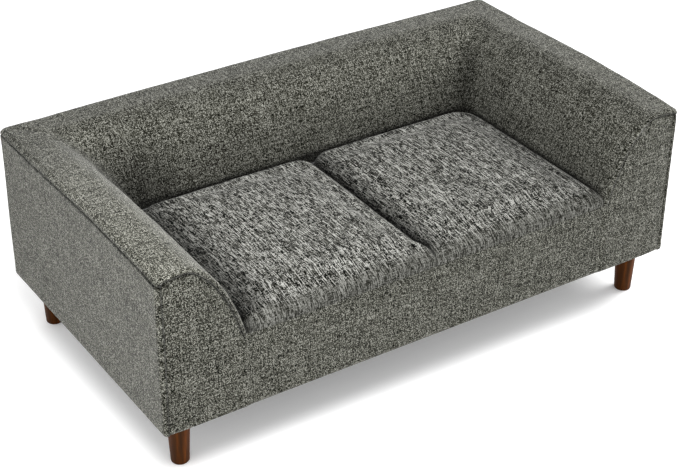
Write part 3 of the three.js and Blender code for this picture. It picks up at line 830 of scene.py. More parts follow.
def wall_wrap():
    """The cover over the left arm, the back and the right arm, without a break at its two valleys."""
    section, normals = tucked_section()
    left = wall_columns(section, normals)
    places = np.concatenate([left, left[:, -2::-1] * (-1, 1, 1)], axis=1)
    places[..., 2] += BODY_BOTTOM
    along = np.stack([run_length(row) for row in places])
    depth = np.repeat(run_length(section)[:, None], places.shape[1], axis=1)
    made = cloth_grid("wall_wrap", lift(places), wall_cloth(along, depth), BODY_TWEED, 1)
    points = vertex_array(made.data)
    at_ends = np.minimum(along, along[:, -1:] - along).ravel()
    depth = depth.ravel()
    from_front = np.clip(points[:, 1] + HALF_DEPTH, 0, None)
    folds = 0.0007 * wave(points, 0.09, 1) + 0.0004 * wave(points, 0.035, 2)
    gathers = pucker(points, 0.00045, 0.009, 3, depth, 0.010)
    gathers += pucker(points, 0.00045, 0.010, 4, from_front, 0.012)
    painted_shades = np.maximum.reduce([seam_shade(depth), seam_shade(at_ends), wall_shade(points)])
    finish_cover(
        made, places, painted_shades, folds + gathers, ["left_arm_wrap", "right_arm_wrap", "back_wrap"],
    )


# ---------------------------------------------------------------- side, rear and front covers

def cover_rows():
    """(inset, height) rows of an outer cover: out of the top seam, down its face and under the base."""
    top = BODY_HEIGHT - TOP_EDGE_RADIUS
    rows = [(depth, top - drop) for depth, drop in SEAM_LIP] + [(0.0, top - 0.0050)]
    rows += [(0.0, z) for z in np.linspace(top - 0.009, BOTTOM_ROLL + 0.002, FACE_ROWS)]
    angles = np.linspace(0, math.pi / 2, 7)
    rows += [(BOTTOM_ROLL * (1 - math.cos(a)), BOTTOM_ROLL * (1 - math.sin(a))) for a in angles]
    rows += [(BOTTOM_ROLL + TURN_UNDER * share, 0.0) for share in UNDER_STEPS]
    return np.array(rows)


def face_share(from_seam):
    """1 on the face of an outer cover, dying out towards its top seam and its bottom."""
    return smooth(0.0, 0.03, from_seam) * smooth(0.0, 0.04, BODY_HEIGHT - from_seam)


def down_the_roll(along, down):
    """uv parts of a cover from each column's place along the cloth and each row's place down it."""
    uv = np.stack(np.broadcast_arrays(along[None, :], -down[:, None]), -1)
    return [(0, len(along) - 1, uv)]


def side_columns(inset, up):
    """The right side's cover, column by column, from the front seam to the lip under the rear cover."""
    columns = []

    def add(x, y):
        columns.append(line_of(x, y, up))

    def corner(radius, sign, angles):
        turn = np.maximum(radius - inset, 0)
        middle = np.maximum(radius, inset)
        for angle in np.radians(angles):
            x = HALF_LENGTH - middle + turn * math.cos(angle)
            add(x, sign * (HALF_DEPTH - middle + turn * math.sin(angle)))

    seam = FRONT_MARGIN
    for out, sunk in ((seam + 0.0002, SEAM_DEPTH), (seam, SEAM_DEPTH * 0.5), (seam - 0.0008, 0.0006)):
        add(HALF_LENGTH - out, -HALF_DEPTH + np.maximum(inset, sunk))
    corner(SIDE_ROLL, -1, np.linspace(90, 0, 7))
    start = -HALF_DEPTH + np.maximum(SIDE_ROLL, inset)
    end = HALF_DEPTH - np.maximum(REAR_CORNER, inset)
    for share in np.linspace(0, 1, SIDE_COLUMNS)[1:-1]:
        add(HALF_LENGTH - inset, start + (end - start) * share)
    corner(REAR_CORNER, 1, np.linspace(0, 90, 9))
    rear_lip = ((-0.0030, 0.0), (-0.0008, 0.0006), (0.0, 0.0020), (0.0006, 0.0029), (0.0070, 0.0030))
    for step, sunk in rear_lip:
        out = REAR_CORNER + REAR_SEAM + step
        add(HALF_LENGTH - np.maximum(out, inset), HALF_DEPTH - np.maximum(inset, sunk))
    return np.stack(columns, axis=1)


def side_cover(side):
    """One side's cover: from the seam in the front face, round the corner and along the side to the rear."""
    name = SIDE_NAMES[side]
    rows = cover_rows()
    places = side_columns(*rows.T)
    places[..., 0] *= side
    places[..., 2] += BODY_BOTTOM
    along = run_length(places[FACE_ROW])
    down = run_length(rows)
    uv_parts = down_the_roll(along + CUT_PLACES["side"] + side, down)
    made = cloth_grid(f"{name}_side_cover", lift(places), uv_parts, BODY_TWEED, side)
    points = vertex_array(made.data)
    from_seam = np.repeat(down, len(along))
    ends = np.tile(np.minimum(along, along[-1] - along), len(down))
    seed = 10 + side
    folds = hanging_folds(points, (0.0010, 0.13, seed), (0.0005, 0.05, seed + 3))
    belly = 0.0015 * np.clip(1 - (points[:, 1] / HALF_DEPTH) ** 2, 0, 1)
    gathers = pucker(points, 0.0006, 0.009, seed + 6, from_seam, 0.010)
    gathers += pucker(points, 0.0005, 0.010, seed + 7, ends, 0.010)
    painted_shades = np.maximum(seam_shade(from_seam), END_SEAM_SHARE[side] * seam_shade(ends))
    amounts = (folds + belly) * face_share(from_seam) + gathers
    finish_cover(made, places, painted_shades, amounts, [f"{name}_side_panel"])


def rear_cover():
    """The flat cover across the back, between the two corners."""
    rows = cover_rows()
    inset, up = rows.T
    end = HALF_LENGTH - REAR_CORNER - REAR_SEAM - REAR_GAP
    tuck = [(-end - 0.0003, SEAM_DEPTH), (-end - 0.0003, SEAM_DEPTH * 0.5), (-end + 0.0004, 0.0006)]
    across = tuck + [(x, 0.0) for x in np.linspace(-end + 0.003, end - 0.003, REAR_COLUMNS)]
    across += [(-x, sunk) for x, sunk in tuck[::-1]]
    columns = [line_of(x, HALF_DEPTH - np.maximum(inset, sunk), up) for x, sunk in across]
    places = np.stack(columns, axis=1)
    places[..., 2] += BODY_BOTTOM
    down = run_length(rows)
    uv_parts = down_the_roll(places[0, :, 0] + CUT_PLACES["rear"], down)
    made = cloth_grid("rear_cover", lift(places), uv_parts, BODY_TWEED, 1)
    points = vertex_array(made.data)
    from_seam = np.repeat(down, len(columns))
    from_ends = end - np.abs(points[:, 0]) + SEAM_DEPTH
    folds = hanging_folds(points, (0.0011, 0.14, 21), (0.0005, 0.05, 22))
    amounts = folds * face_share(from_seam) + pucker(points, 0.0006, 0.009, 23, from_seam, 0.010)
    painted_shades = np.maximum(seam_shade(from_seam), seam_shade(from_ends))
    finish_cover(made, places, painted_shades, amounts, ["rear_panel"])


def distance_to_line(points, line):
    """Least distance from each 2-D point to a line of points."""
    best = np.full(len(points), 1e9)
    for start, end in zip(line[:-1], line[1:]):
        step = end - start
        share = np.clip(((points - start) @ step) / max(step @ step, 1e-12), 0, 1)
        best = np.minimum(best, np.linalg.norm(points - start - share[:, None] * step, axis=1))
    return best


def front_edge():
    """(in, up) points of the front face's edge round an arm, from the side down to the well."""
    section = wall_outline()
    edge = (section - outward(section) * (FRONT_ROLL + SEAM_REACH))[1:]
    edge = edge[edge[:, 1] > APRON_HEIGHT]
    edge = edge[edge[:, 0] > TOP_EDGE_RADIUS + 0.0005]
    return np.vstack([(FRONT_MARGIN, edge[0, 1] - CORNER_EASE), edge])


def front_layout(edge, well):
    """(x, top) of each column of the front face and the height of each point, closer near the seams."""
    left_end = -HALF_LENGTH + FRONT_MARGIN
    arm = np.linspace(0, 1, FRONT_ARM_COLUMNS)
    arm_columns = left_end + (well - left_end) * (1 - np.cos(arm * math.pi * 0.5)) ** 0.75
    middle = np.linspace(well, -well, FRONT_WELL_COLUMNS)[1:-1]
    xs = np.concatenate([arm_columns, middle, -arm_columns[::-1]])
    into = HALF_LENGTH - np.abs(xs)
    line = np.vstack([edge, (edge[-1, 0] + 0.0003, APRON_HEIGHT)])
    tops = np.where(into > edge[-1, 0], APRON_HEIGHT, np.interp(into, *line.T))
    share = np.linspace(0, 1, FRONT_ROWS)
    share = 0.35 * share + 0.65 * np.sin(share * math.pi / 2)
    return xs, tops, BOTTOM_ROLL + (tops[None, :] - BOTTOM_ROLL) * share[:, None]


def from_front_seams(edge, well, flat):
    """Distance of (x, height) points from the front face's sides and from the line of its top."""
    left_end = -HALF_LENGTH + FRONT_MARGIN
    arm = np.stack([edge[:, 0] - HALF_LENGTH, edge[:, 1]], 1)
    outline = np.vstack([
        [(left_end, 0)], arm, [(well, APRON_HEIGHT), (-well, APRON_HEIGHT)],
        (arm * (-1, 1))[::-1], [(-left_end, 0)],
    ])
    return distance_to_line(flat, outline)


def front_face(xs, heights, from_edge, well):
    """The front face's points: rounded back into its seams and a little puffed between them."""
    xs = np.broadcast_to(xs, heights.shape)
    inside = np.clip(FRONT_ROUNDING - from_edge, 0, FRONT_ROUNDING)
    open_edge = smooth(-well - 0.002, -well - 0.012, np.abs(xs))
    sunk = FRONT_ROUNDING - np.sqrt(np.maximum(FRONT_ROUNDING ** 2 - inside ** 2, 0))
    puff = FRONT_PUFF * smooth(0.002, 0.028, from_edge) * (1 - open_edge)
    ys = -HALF_DEPTH + sunk * (1 - 0.85 * open_edge) - puff + 0.0004
    return line_of(xs, ys, heights)


def front_bottom(front):
    """Rows from the turned-under edge round the front face's bottom."""
    angles = np.linspace(math.pi / 2, 0.2, 6)
    under = [(TURN_UNDER * share + BOTTOM_ROLL, 0.0) for share in UNDER_STEPS[::-1]]
    under += [(BOTTOM_ROLL * (1 - math.cos(a)), BOTTOM_ROLL * (1 - math.sin(a))) for a in angles]
    xs, ys = front[0, :, 0], front[0, :, 1]
    return np.stack([line_of(xs, ys + inset, up) for inset, up in under])


def front_top(front, tops, well_edge):
    """Rows from the front face's top back into the seam or, over the apron, back under the cushions."""
    xs, ys = front[-1, :, 0], front[-1, :, 1]
    in_well = smooth(0.0, 0.004, HALF_LENGTH - np.abs(xs) - well_edge)
    depth = SEAM_DEPTH * (1 - in_well) + WELL_TUCK * in_well
    rows = [line_of(xs, ys + depth * step, tops - 0.0012 * in_well * step) for step in TOP_STEPS]
    return np.stack(rows)


def with_folded_ends(places):
    """Adds a column at each end, folded back into the seam at the side."""
    ends = []
    for column, step in ((0, -0.0004), (-1, 0.0004)):
        folded = places[:, column] + (step, SEAM_DEPTH, 0)
        folded[:, 1] = np.maximum(folded[:, 1], -HALF_DEPTH + SEAM_DEPTH)
        ends.append(folded[:, None])
    return np.concatenate([ends[0], places, ends[1]], axis=1)


def front_cloth(places, below):
    """The front cover's uv grid; below is the number of rows under the face."""
    up = run_length(places[:, places.shape[1] // 2])
    cloth_up = places[..., 2].copy()
    cloth_up[:below] = (up[:below] - up[below])[:, None] + cloth_up[below:below + 1]
    cloth_up[-len(TOP_STEPS):] += np.array(TOP_STEPS)[:, None] * 0.01
    return np.stack([places[..., 0] + CUT_PLACES["front"], cloth_up], -1)


def front_shade(points, near, well):
    """The painted shade along the front cover's seams, and faintly along the apron's top."""
    on_arm = smooth(-well - 0.002, -well + 0.004, np.abs(points[:, 0]))
    shade = SEAM_SHADE * smooth(0.0038, 0.0006, near) * on_arm
    shade += 0.2 * smooth(0.0020, 0.0002, near) * (1 - on_arm)
    shade *= smooth(BODY_BOTTOM + 0.008, BODY_BOTTOM + 0.02, points[:, 2])
    return shade * np.where(points[:, 0] > HALF_LENGTH - 0.02, END_SEAM_SHARE[1], 1)


def front_cover():
    """Both arm fronts and the apron in one panel, with its edges drawn into the seams."""
    edge = front_edge()
    well = -HALF_LENGTH + edge[-1, 0] + 0.0006
    xs, tops, heights = front_layout(edge, well)
    flat = np.stack([np.broadcast_to(xs, heights.shape), heights], -1).reshape(-1, 2)
    from_edge = from_front_seams(edge, well, flat).reshape(heights.shape)
    front = front_face(xs, heights, from_edge, well)
    bottom = front_bottom(front)
    places = np.concatenate([bottom, front, front_top(front, tops, edge[-1, 0])])
    places = with_folded_ends(places)
    uv_parts = [(0, places.shape[1] - 1, front_cloth(places, len(bottom)))]
    places[..., 2] += BODY_BOTTOM
    made = cloth_grid("front_cover", lift(places), uv_parts, BODY_TWEED, 1)
    points = vertex_array(made.data)
    near = np.zeros(places.shape[:2])
    near[len(bottom):-len(TOP_STEPS), 1:-1] = from_edge
    near = near.ravel()
    folds = hanging_folds(points, (0.0008, 0.11, 31), (0.0004, 0.045, 32))
    gathers = pucker(points, 0.0006, 0.010, 33, near, 0.010) * (near > 0)
    finish_cover(
        made, places, front_shade(points, near, well), folds * smooth(0.002, 0.03, near) + gathers,
        ["front_panel"],
    )


# ---------------------------------------------------------------- cushions

class Pad:
    """One cushion's resting form: a rounded rectangle in plan, whose edges roll down to its sides."""

    def __init__(self, name):
        self.name = name
        self.low, self.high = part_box(f"{name}_cushion_cover")
        self.side = -1 if name == "left" else 1
        inner, outer = sorted((self.low.x, self.high.x), key=abs)
        self.inner = inner - self.side * CUSHION_SWELL
        self.outer = outer + self.side * CUSHION_SWELL / 2
        self.front = self.low.y - CUSHION_FORWARD
        self.rear = self.high.y
        self.centre = np.array([(self.inner + self.outer) / 2, (self.front + self.rear) / 2])
        self.half = np.array([abs(self.outer - self.inner) / 2, (self.rear - self.front) / 2])

    def outline(self, shrunk):
        """(points, outward directions) of the plan's outline, moved in by a distance."""
        corners = (
            (1, 1, PAD_OUTER_REAR, 0), (-1, 1, PAD_INNER_REAR, 90),
            (-1, -1, PAD_INNER_FRONT, 180), (1, -1, PAD_OUTER_FRONT, 270),
        )
        half = self.half - shrunk
        points, directions = [], []
        for i, (right, up, radius, start) in enumerate(corners):
            next_right, next_up, next_radius, _ = corners[(i + 1) % 4]
            radius = max(radius - shrunk, 0.25 * shrunk, 0.0005)
            next_radius = max(next_radius - shrunk, 0.25 * shrunk, 0.0005)
            for angle in np.radians(np.linspace(start, start + 90, PAD_CORNER_STEPS)):
                direction = np.array([math.cos(angle), math.sin(angle)])
                points.append((half - radius) * (right, up) + radius * direction)
                directions.append(direction)
            towards = (half - next_radius) * (next_right, next_up) + next_radius * direction
            here = points[-1]
            for share in np.linspace(0, 1, PAD_SIDE_STEPS)[1:-1]:
                points.append(here + (towards - here) * share)
                directions.append(direction)
        points, directions = np.array(points), np.array(directions)
        mirror = np.array([self.side, 1])
        return points * mirror + self.centre, directions * mirror

    def roll_width(self, places, directions):
        """How far in the edge's roll reaches: it dies out where two cushions meet in front."""
        from_front = places[:, 1] - self.front
        towards_inner = np.clip(-directions[:, 0] * self.side, 0, 1)
        dying = 1 - towards_inner * smooth(0.048, 0.008, from_front)
        return np.maximum(PAD_ROLL * dying, 0.0015)

    def rings(self):
        """(points, cloth places, depth in) of rings from the bottom's edge to the top's middle."""
        edge, directions = self.outline(0.0)
        rolled, _ = self.outline(PAD_ROLL)
        width = self.roll_width(edge, directions)
        at_front = np.clip(-directions[:, 1], 0, 1)
        wall = PAD_SIDE_WALL + (PAD_FRONT_WALL - PAD_SIDE_WALL) * at_front
        rounding = PAD_SIDE_ROUNDING + (PAD_FRONT_ROUNDING - PAD_SIDE_ROUNDING) * at_front
        found = []

        def ring(inset, height, surplus):
            plan = edge + (rolled - edge) * (inset / PAD_ROLL)[:, None]
            cloth = plan + directions * np.asarray(surplus)[:, None]
            found.append((np.column_stack([plan, self.low.z + height]), cloth, inset))

        drop = (PAD_EDGE_RISE - wall) * 0.7
        ring(rounding, np.zeros_like(rounding), drop + wall + rounding)
        ring(rounding * 0.3, rounding * 0.3, drop + wall)
        ring(rounding * 0, rounding, drop + wall - rounding)
        for share in (0.5, 1.0):
            ring(width * 0, rounding + (wall - rounding) * share, drop + (wall - rounding) * (1 - share))
        for angle in np.radians(np.linspace(0, 90, PAD_ROLL_STEPS + 1))[1:]:
            inset = width * (1 - math.cos(angle))
            ring(inset, wall + (PAD_EDGE_RISE - wall) * math.sin(angle), drop * (1 - math.sin(angle)))
        last, cloth, inset = found[-1]
        for share in np.linspace(0, 1, PAD_TOP_STEPS + 1)[1:-1]:
            plan = last[:, :2] + (self.centre - last[:, :2]) * share
            found.append((
                np.column_stack([plan, last[:, 2]]), plan,
                inset + np.linalg.norm(plan - last[:, :2], axis=1),
            ))
        return found

    def front_limit(self, y):
        """The height of the front edge's roll, which goes on unbroken from one cushion to the other."""
        run = np.clip((y - self.front) / PAD_FRONT_ROLL, 0, 1)
        climbed = np.sqrt(1 - (1 - run) ** 2)
        return self.low.z + PAD_FRONT_WALL + (PAD_EDGE_RISE - PAD_FRONT_WALL) * climbed

    def crown(self, points):
        """How far the top stands above the height of its edges."""
        across, along = np.abs((points[:, :2] - self.centre) / self.half).T
        dome = np.clip(1 - across ** 2.2, 0, 1) * np.clip(1 - along ** 2.4, 0, 1)
        raised = smooth(self.low.z, self.low.z + PAD_EDGE_RISE, points[:, 2])
        return (self.high.z - self.low.z - PAD_EDGE_RISE) * dome ** 0.75 * raised


def pad_mesh(name, pad):
    """The cushion's closed mesh before it is stuffed, and each vertex's depth in from the edge."""
    rings = pad.rings()
    count = len(rings[0][0])
    points = np.vstack([r[0] for r in rings])
    cloth = np.vstack([r[1] for r in rings])
    depth = np.concatenate([r[2] for r in rings])
    bottom = np.array([[*pad.centre, pad.low.z]])
    middle = np.array([[*pad.centre, rings[-1][0][:, 2].mean()]])
    points = np.vstack([points, bottom, middle])
    cloth = np.vstack([cloth, pad.centre[None], pad.centre[None]])
    depth = np.append(depth, [0.0, pad.half.min()])
    faces = []
    foot, top = len(points) - 2, len(points) - 1
    last = (len(rings) - 1) * count
    for i in range(count):
        j = (i + 1) % count
        faces.append((foot, j, i))
        faces += [
            (r * count + i, r * count + j, (r + 1) * count + j, (r + 1) * count + i)
            for r in range(len(rings) - 1)
        ]
        faces.append((last + i, last + j, top))
    points[:, 2] = np.minimum(points[:, 2], pad.front_limit(points[:, 1]))
    points[:, 2] += pad.crown(points)
    if pad.side < 0:
        faces = [face[::-1] for face in faces]
    corners = np.concatenate([np.array(face) for face in faces])
    made = link(name, make_mesh(name, points, faces, cloth[corners]))
    return made, depth


def inflate(obj, pressure, most, share):
    """Blows the mesh up as cloth; each vertex keeps its share of a swelling of at most that distance."""
    start = vertex_array(obj.data)
    cloth = obj.modifiers.new("inflate", "CLOTH")
    cloth.settings.use_pressure = True
    cloth.settings.uniform_pressure_force = pressure
    cloth.settings.effector_weights.gravity = 0
    scene = bpy.context.scene
    for step in range(1, STUFFING_STEPS + 1):
        scene.frame_set(step)
    bake_modifiers(obj)
    scene.frame_set(1)
    swelling = vertex_array(obj.data) - start
    length = np.linalg.norm(swelling, axis=1, keepdims=True)
    limited = most * np.tanh(length / most) * share[:, None]
    set_vertices(obj.data, start + swelling * limited / np.maximum(length, 1e-9))


def mark_cushion(obj, pad, depth):
    """Stores the painted shade down in the gaps round the cushion, on its sides that face left, in the
    pocket by the left arm and along the line where the two cushions meet in front, and the calmer weave
    along its front.
    """
    points = vertex_array(obj.data)
    in_front = smooth(pad.front + 0.030, pad.front + 0.010, points[:, 1])
    from_left = points[:, 0] - (pad.centre[0] - pad.half[0])
    left_side_shade = smooth(PAD_SIDE_SHADE_REACH[pad.name], 0.008, from_left) * PAD_SIDE_SHADE[pad.name]
    # Painted shade: dark at the edges and on the sides that face left, as if lit from the right, and fading
    # out along the front
    shade = (PAD_EDGE_SHADE * smooth(0.011, 0.001, depth) + left_side_shade) * (1 - in_front)
    pocket_shade = POCKET_SHADE[pad.name] * smooth(0.024, 0.004, from_left)
    shade += np.maximum(PAD_FRONT_SHADE[pad.name], pocket_shade) * in_front
    line = smooth(0.006, 0.001, np.abs(points[:, 0] - pad.inner))
    line = line * smooth(pad.front + 0.002, pad.front + 0.008, points[:, 1])
    shade = np.maximum(shade, FRONT_LINE_SHADE * line)
    mark(obj, "painted_shade", np.where(points[:, 2] < pad.low.z + 0.001, 0, shade))
    mark(obj, "calm", FRONT_CALM * in_front)


def cushion_cover(name):
    """A loose seat cushion: crowned, with edges rolled down into the gaps round it, and flat underneath."""
    pad = Pad(name)
    made, depth = pad_mesh(f"{name}_cushion", pad)
    inflate(made, STUFFING_PRESSURE, STUFFING_SWELL, smooth(0.004, 0.035, depth))
    points = vertex_array(made.data)
    seed = 41 if name == "left" else 47
    folds = 0.0013 * wave(points, 0.11, seed) + 0.0007 * wave(points * (1, 0.5, 1), 0.045, seed + 1)
    near_edge = np.exp(-(depth / 0.035) ** 2) * smooth(0.0, 0.006, depth)
    folds += 0.0010 * wave(points * (1, 1, 0.3), 0.030, seed + 2) * near_edge
    relief(made, folds * smooth(0.0, 0.02, depth))
    mark_cushion(made, pad, depth)
    made.data.materials.append(CUSHION_TWEED)
    adopt(made, f"{name}_cushion", "cushion_fabric", f"{name}_cushion_cover", f"{name}_cushion_foam")


# ---------------------------------------------------------------- legs and cloths

def ring_faces(rings, sides, first=0):
    """Quads between rings of points that are stored one ring after the other."""
    faces = []
    for start in range(first, first + (rings - 1) * sides, sides):
        for i in range(sides):
            j = (i + 1) % sides
            faces.append((start + i, start + j, start + sides + j, start + sides + i))
    return faces


def lathe_mesh(name, profile, segments):
    """A closed turned solid from (radius, height) points that start and end on the axis."""
    inner = profile[1:-1]
    points = [(0, 0, profile[0][1])]
    for radius, height in inner:
        for i in range(segments):
            angle = 2 * math.pi * i / segments
            points.append((radius * math.cos(angle), radius * math.sin(angle), height))
    points.append((0, 0, profile[-1][1]))
    last = len(points) - 1
    faces = ring_faces(len(inner), segments, 1)
    for i in range(segments):
        j = (i + 1) % segments
        faces.append((0, 1 + j, 1 + i))
        faces.append((last, last - segments + i, last - segments + j))
    return make_mesh(name, points, faces)


def turned_leg(place):
    """A tapered leg with a rounded foot."""
    low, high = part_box(f"leg_{place}")
    top = (high.x - low.x) / 2
    foot = top * LEG_FOOT_SHARE
    flat = foot - LEG_ROUNDING
    profile = [(0, 0), (flat, 0)]
    profile += [
        (flat + LEG_ROUNDING * math.sin(a), LEG_ROUNDING - LEG_ROUNDING * math.cos(a))
        for a in np.linspace(0.3, math.pi / 2, 6)
    ]
    profile += [
        (foot + (top - foot) * s, LEG_ROUNDING + (high.z - LEG_ROUNDING) * s)
        for s in np.linspace(0.03, 0.985, 16)
    ]
    profile += [(top - 0.0006, high.z), (0, high.z)]
    name = f"turned_leg_{place}"
    made = link(name, lathe_mesh(name, profile, LEG_SEGMENTS))
    made.location = ((low.x + high.x) / 2, (low.y + high.y) / 2, 0)
    made.data.materials.append(WALNUT)
    adopt(made, "frame", "walnut", f"leg_{place}")


def flat_cloth(name, low, high, height, step, material):
    """A level grid of cloth; height gives each point's z."""
    xs, ys = (
        np.linspace(low[axis], high[axis], int((high[axis] - low[axis]) / step) + 1) for axis in (0, 1)
    )
    grid = np.stack(np.meshgrid(xs, ys), -1)
    places = np.dstack([grid, height(grid.reshape(-1, 2)).reshape(grid.shape[:2])])
    return cloth_grid(name, places, [(0, len(xs) - 1, grid)], material, -1)


def level_wave(flat, size, seed):
    """The wave of level (x, y) points."""
    return wave(np.column_stack([flat, np.zeros(len(flat))]), size, seed)


def deck_lining():
    """The plain cloth over the deck, where the cushions lie."""
    low, high = (np.array(corner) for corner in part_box("deck_cloth"))
    low[1] += LINING_SETBACK

    def height(flat):
        return high[2] - 0.0004 + LINING_RIPPLE * level_wave(flat, 0.07, 61)

    made = flat_cloth("deck_lining", low, high, height, LINING_STEP, LINING)
    shell(made, LINING_THICKNESS)
    adopt(made, "frame", "deck_cloth", "deck_cloth")


def cut_round(obj, centres, radius):
    """Removes the faces round each centre, seen from above."""
    mesh = bmesh.new()
    mesh.from_mesh(obj.data)
    doomed = []
    for face in mesh.faces:
        middle = face.calc_center_median()
        if any(math.hypot(middle.x - x, middle.y - y) < radius for x, y in centres):
            doomed.append(face)
    bmesh.ops.delete(mesh, geom=doomed, context="FACES")
    mesh.to_mesh(obj.data)
    mesh.free()


def bolt_centres():
    """Where the hanger bolts stand, seen from above."""
    centres = []
    for place in LEG_PLACES:
        low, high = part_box(f"hanger_bolt_{place}")
        centres.append(((low.x + high.x) / 2, (low.y + high.y) / 2))
    return centres


def dust_cloth():
    """The thin black cloth under the base: its edges lie over the covers' turned-under edges."""
    edge = np.array([HALF_LENGTH - DUST_INSET, HALF_DEPTH - DUST_INSET])

    def height(flat):
        inside = (edge - np.abs(flat)).min(axis=1)
        up = BODY_BOTTOM - 0.0003 + 0.0009 * smooth(0.006, 0.012, inside)
        sag = 0.0011 * (1 - level_wave(flat, 0.16, 71)) * smooth(0.06, 0.14, inside)
        return up - sag + 0.0002 * level_wave(flat, 0.03, 72) * smooth(0.0, 0.03, inside)

    made = flat_cloth("dust_cloth", -edge, edge, height, DUST_STEP, DUST_CLOTH)
    cut_round(made, bolt_centres(), BOLT_HOLE)
    shell(made, DUST_THICKNESS)
    adopt(made, "frame", "dust_cloth", "dust_cover")


def swept(path, radius, sides=6):
    """(points, faces) of a closed rod of round section along a path of points."""
    path = np.asarray(path, float)
    along = np.gradient(path, axis=0)
    along /= np.linalg.norm(along, axis=1, keepdims=True)
    points = []
    for centre, direction in zip(path, along):
        aside = np.cross(direction, (0.31, 0.17, 0.93))
        aside /= np.linalg.norm(aside)
        other = np.cross(direction, aside)
        for i in range(sides):
            angle = 2 * math.pi * i / sides
            points.append(centre + radius * (math.cos(angle) * aside + math.sin(angle) * other))
    faces = ring_faces(len(path), sides)
    faces.append(tuple(range(sides))[::-1])
    faces.append(tuple((len(path) - 1) * sides + i for i in range(sides)))
    return points, faces


def joined(name, parts, material):
    """One piece from many (points, faces) parts."""
    points, faces = [], []
    for part_points, part_faces in parts:
        start = len(points)
        points += [tuple(p) for p in part_points]
        faces += [tuple(start + i for i in face) for face in part_faces]
    made = link(name, make_mesh(name, points, faces))
    turned = bmesh.new()
    turned.from_mesh(made.data)
    bmesh.ops.recalc_face_normals(turned, faces=turned.faces)
    turned.to_mesh(made.data)
    turned.free()
    made.data.materials.append(material)
    return made


def staple_path(axis, along, across, bottom):
    """A staple's wire: its crown runs along the axis, and its two legs go up."""
    path = np.zeros((len(STAPLE_PATH), 3))
    steps, rises = np.array(STAPLE_PATH).T
    path[:, axis] = along + steps * STAPLE_WIDTH / 2
    path[:, 1 - axis] = across
    path[:, 2] = bottom + rises
    return path


def staples():
    """The staples along the dust cloth's edge: a flat crown with its two legs going up into the rails."""
    edge = np.array([HALF_LENGTH - STAPLE_INSET, HALF_DEPTH - STAPLE_INSET])
    bottom = BODY_BOTTOM - 0.0016
    parts = []
    for axis in (0, 1):
        reach = edge[axis] - 0.03
        for share in np.linspace(-1, 1, round(2 * reach / STAPLE_SPACING)):
            for side in (-1, 1):
                path = staple_path(axis, share * reach, side * edge[1 - axis], bottom)
                parts.append(swept(path, STAPLE_RADIUS))
    adopt(joined("staples", parts, STEEL), "frame", "steel")


# ---------------------------------------------------------------- zips

def rear_surface(pad, height):
    """The cushion's rear face at a height above its bottom."""
    climbed = np.clip((height - PAD_SIDE_WALL) / (PAD_EDGE_RISE - PAD_SIDE_WALL), 0, 1)
    return pad.rear - PAD_ROLL * (1 - np.sqrt(1 - climbed ** 2))


def zip_tape(name):
    """The two woven tapes, edge to edge, with a row of stitches along each."""
    pad = Pad(name)
    low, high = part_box(f"{name}_cushion_zip")
    heights = np.linspace(low.z, high.z, 15) - pad.low.z
    xs = np.linspace(low.x, high.x, 151)
    middle = (heights - heights.mean()) / (heights[-1] - heights[0]) * 2
    ridge = 0.0004 * np.exp(-(middle / 0.25) ** 2)
    seat = 0.0009 - 0.0003 * np.abs(middle)
    ys = rear_surface(pad, heights) + seat + ridge
    zs = heights + pad.low.z
    places = line_of(xs[None, :], ys[:, None], zs[:, None]).astype(float)
    places[..., 1] += 0.0002 * wave(places.reshape(-1, 3), 0.02, 81).reshape(places.shape[:2])
    uv_parts = [(0, len(xs) - 1, places[..., ::2])]
    made = cloth_grid(f"{name}_zip_tape", places, uv_parts, ZIP_TAPE, -1)
    shell(made, TAPE_THICKNESS)
    adopt(made, f"{name}_cushion", "zip_tape", f"{name}_cushion_zip")
    zip_stitches(name, low.x, high.x, [(ys[row], zs[row]) for row in (1, -2)])


def zip_stitches(name, start, end, rows):
    """A row of stitches along the tape at each (y, z)."""
    stitches = []
    for y, z in rows:
        for x in np.arange(start + 0.003, end - 0.003, STITCH):
            path = [(x + STITCH * step, y + rise, z) for step, rise in STITCH_PATH]
            stitches.append(swept(path, THREAD_RADIUS, 5))
    adopt(joined(f"{name}_zip_stitches", stitches, THREAD), f"{name}_cushion", "zip_tape")


def zip_teeth(name):
    """Two rows of interlocked teeth along the middle of the tape."""
    pad = Pad(name)
    low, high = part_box(f"{name}_cushion_zip")
    height = (low.z + high.z) / 2
    y = rear_surface(pad, height - pad.low.z) + 0.0014
    parts = []
    for i, x in enumerate(np.arange(low.x + 0.004, high.x - 0.004, TOOTH)):
        side = 1 if i % 2 else -1
        path = [(x, y + proud, height + side * rise) for proud, rise in TOOTH_PATH]
        parts.append(swept(path, TOOTH * 0.36))
    adopt(joined(f"{name}_zip_teeth", parts, ZIP_METAL), f"{name}_cushion", "zip_metal")


def plate(outline, thickness, hole=()):
    """(points, faces) of an upright plate, centred on y; its hole has as many points as its outline."""
    points = [(x, -thickness / 2, z) for x, z in outline] + [(x, thickness / 2, z) for x, z in outline]
    count = len(outline)
    faces = [(i, (i + 1) % count, count + (i + 1) % count, count + i) for i in range(count)]
    if not len(hole):
        return points, faces + [tuple(range(count))[::-1], tuple(range(count, 2 * count))]
    points += [(x, -thickness / 2, z) for x, z in hole] + [(x, thickness / 2, z) for x, z in hole]
    for i in range(count):
        j = (i + 1) % count
        faces.append((2 * count + j, 2 * count + i, 3 * count + i, 3 * count + j))
        faces.append((j, i, 2 * count + i, 2 * count + j))
        faces.append((count + i, count + j, 3 * count + j, 3 * count + i))
    return points, faces


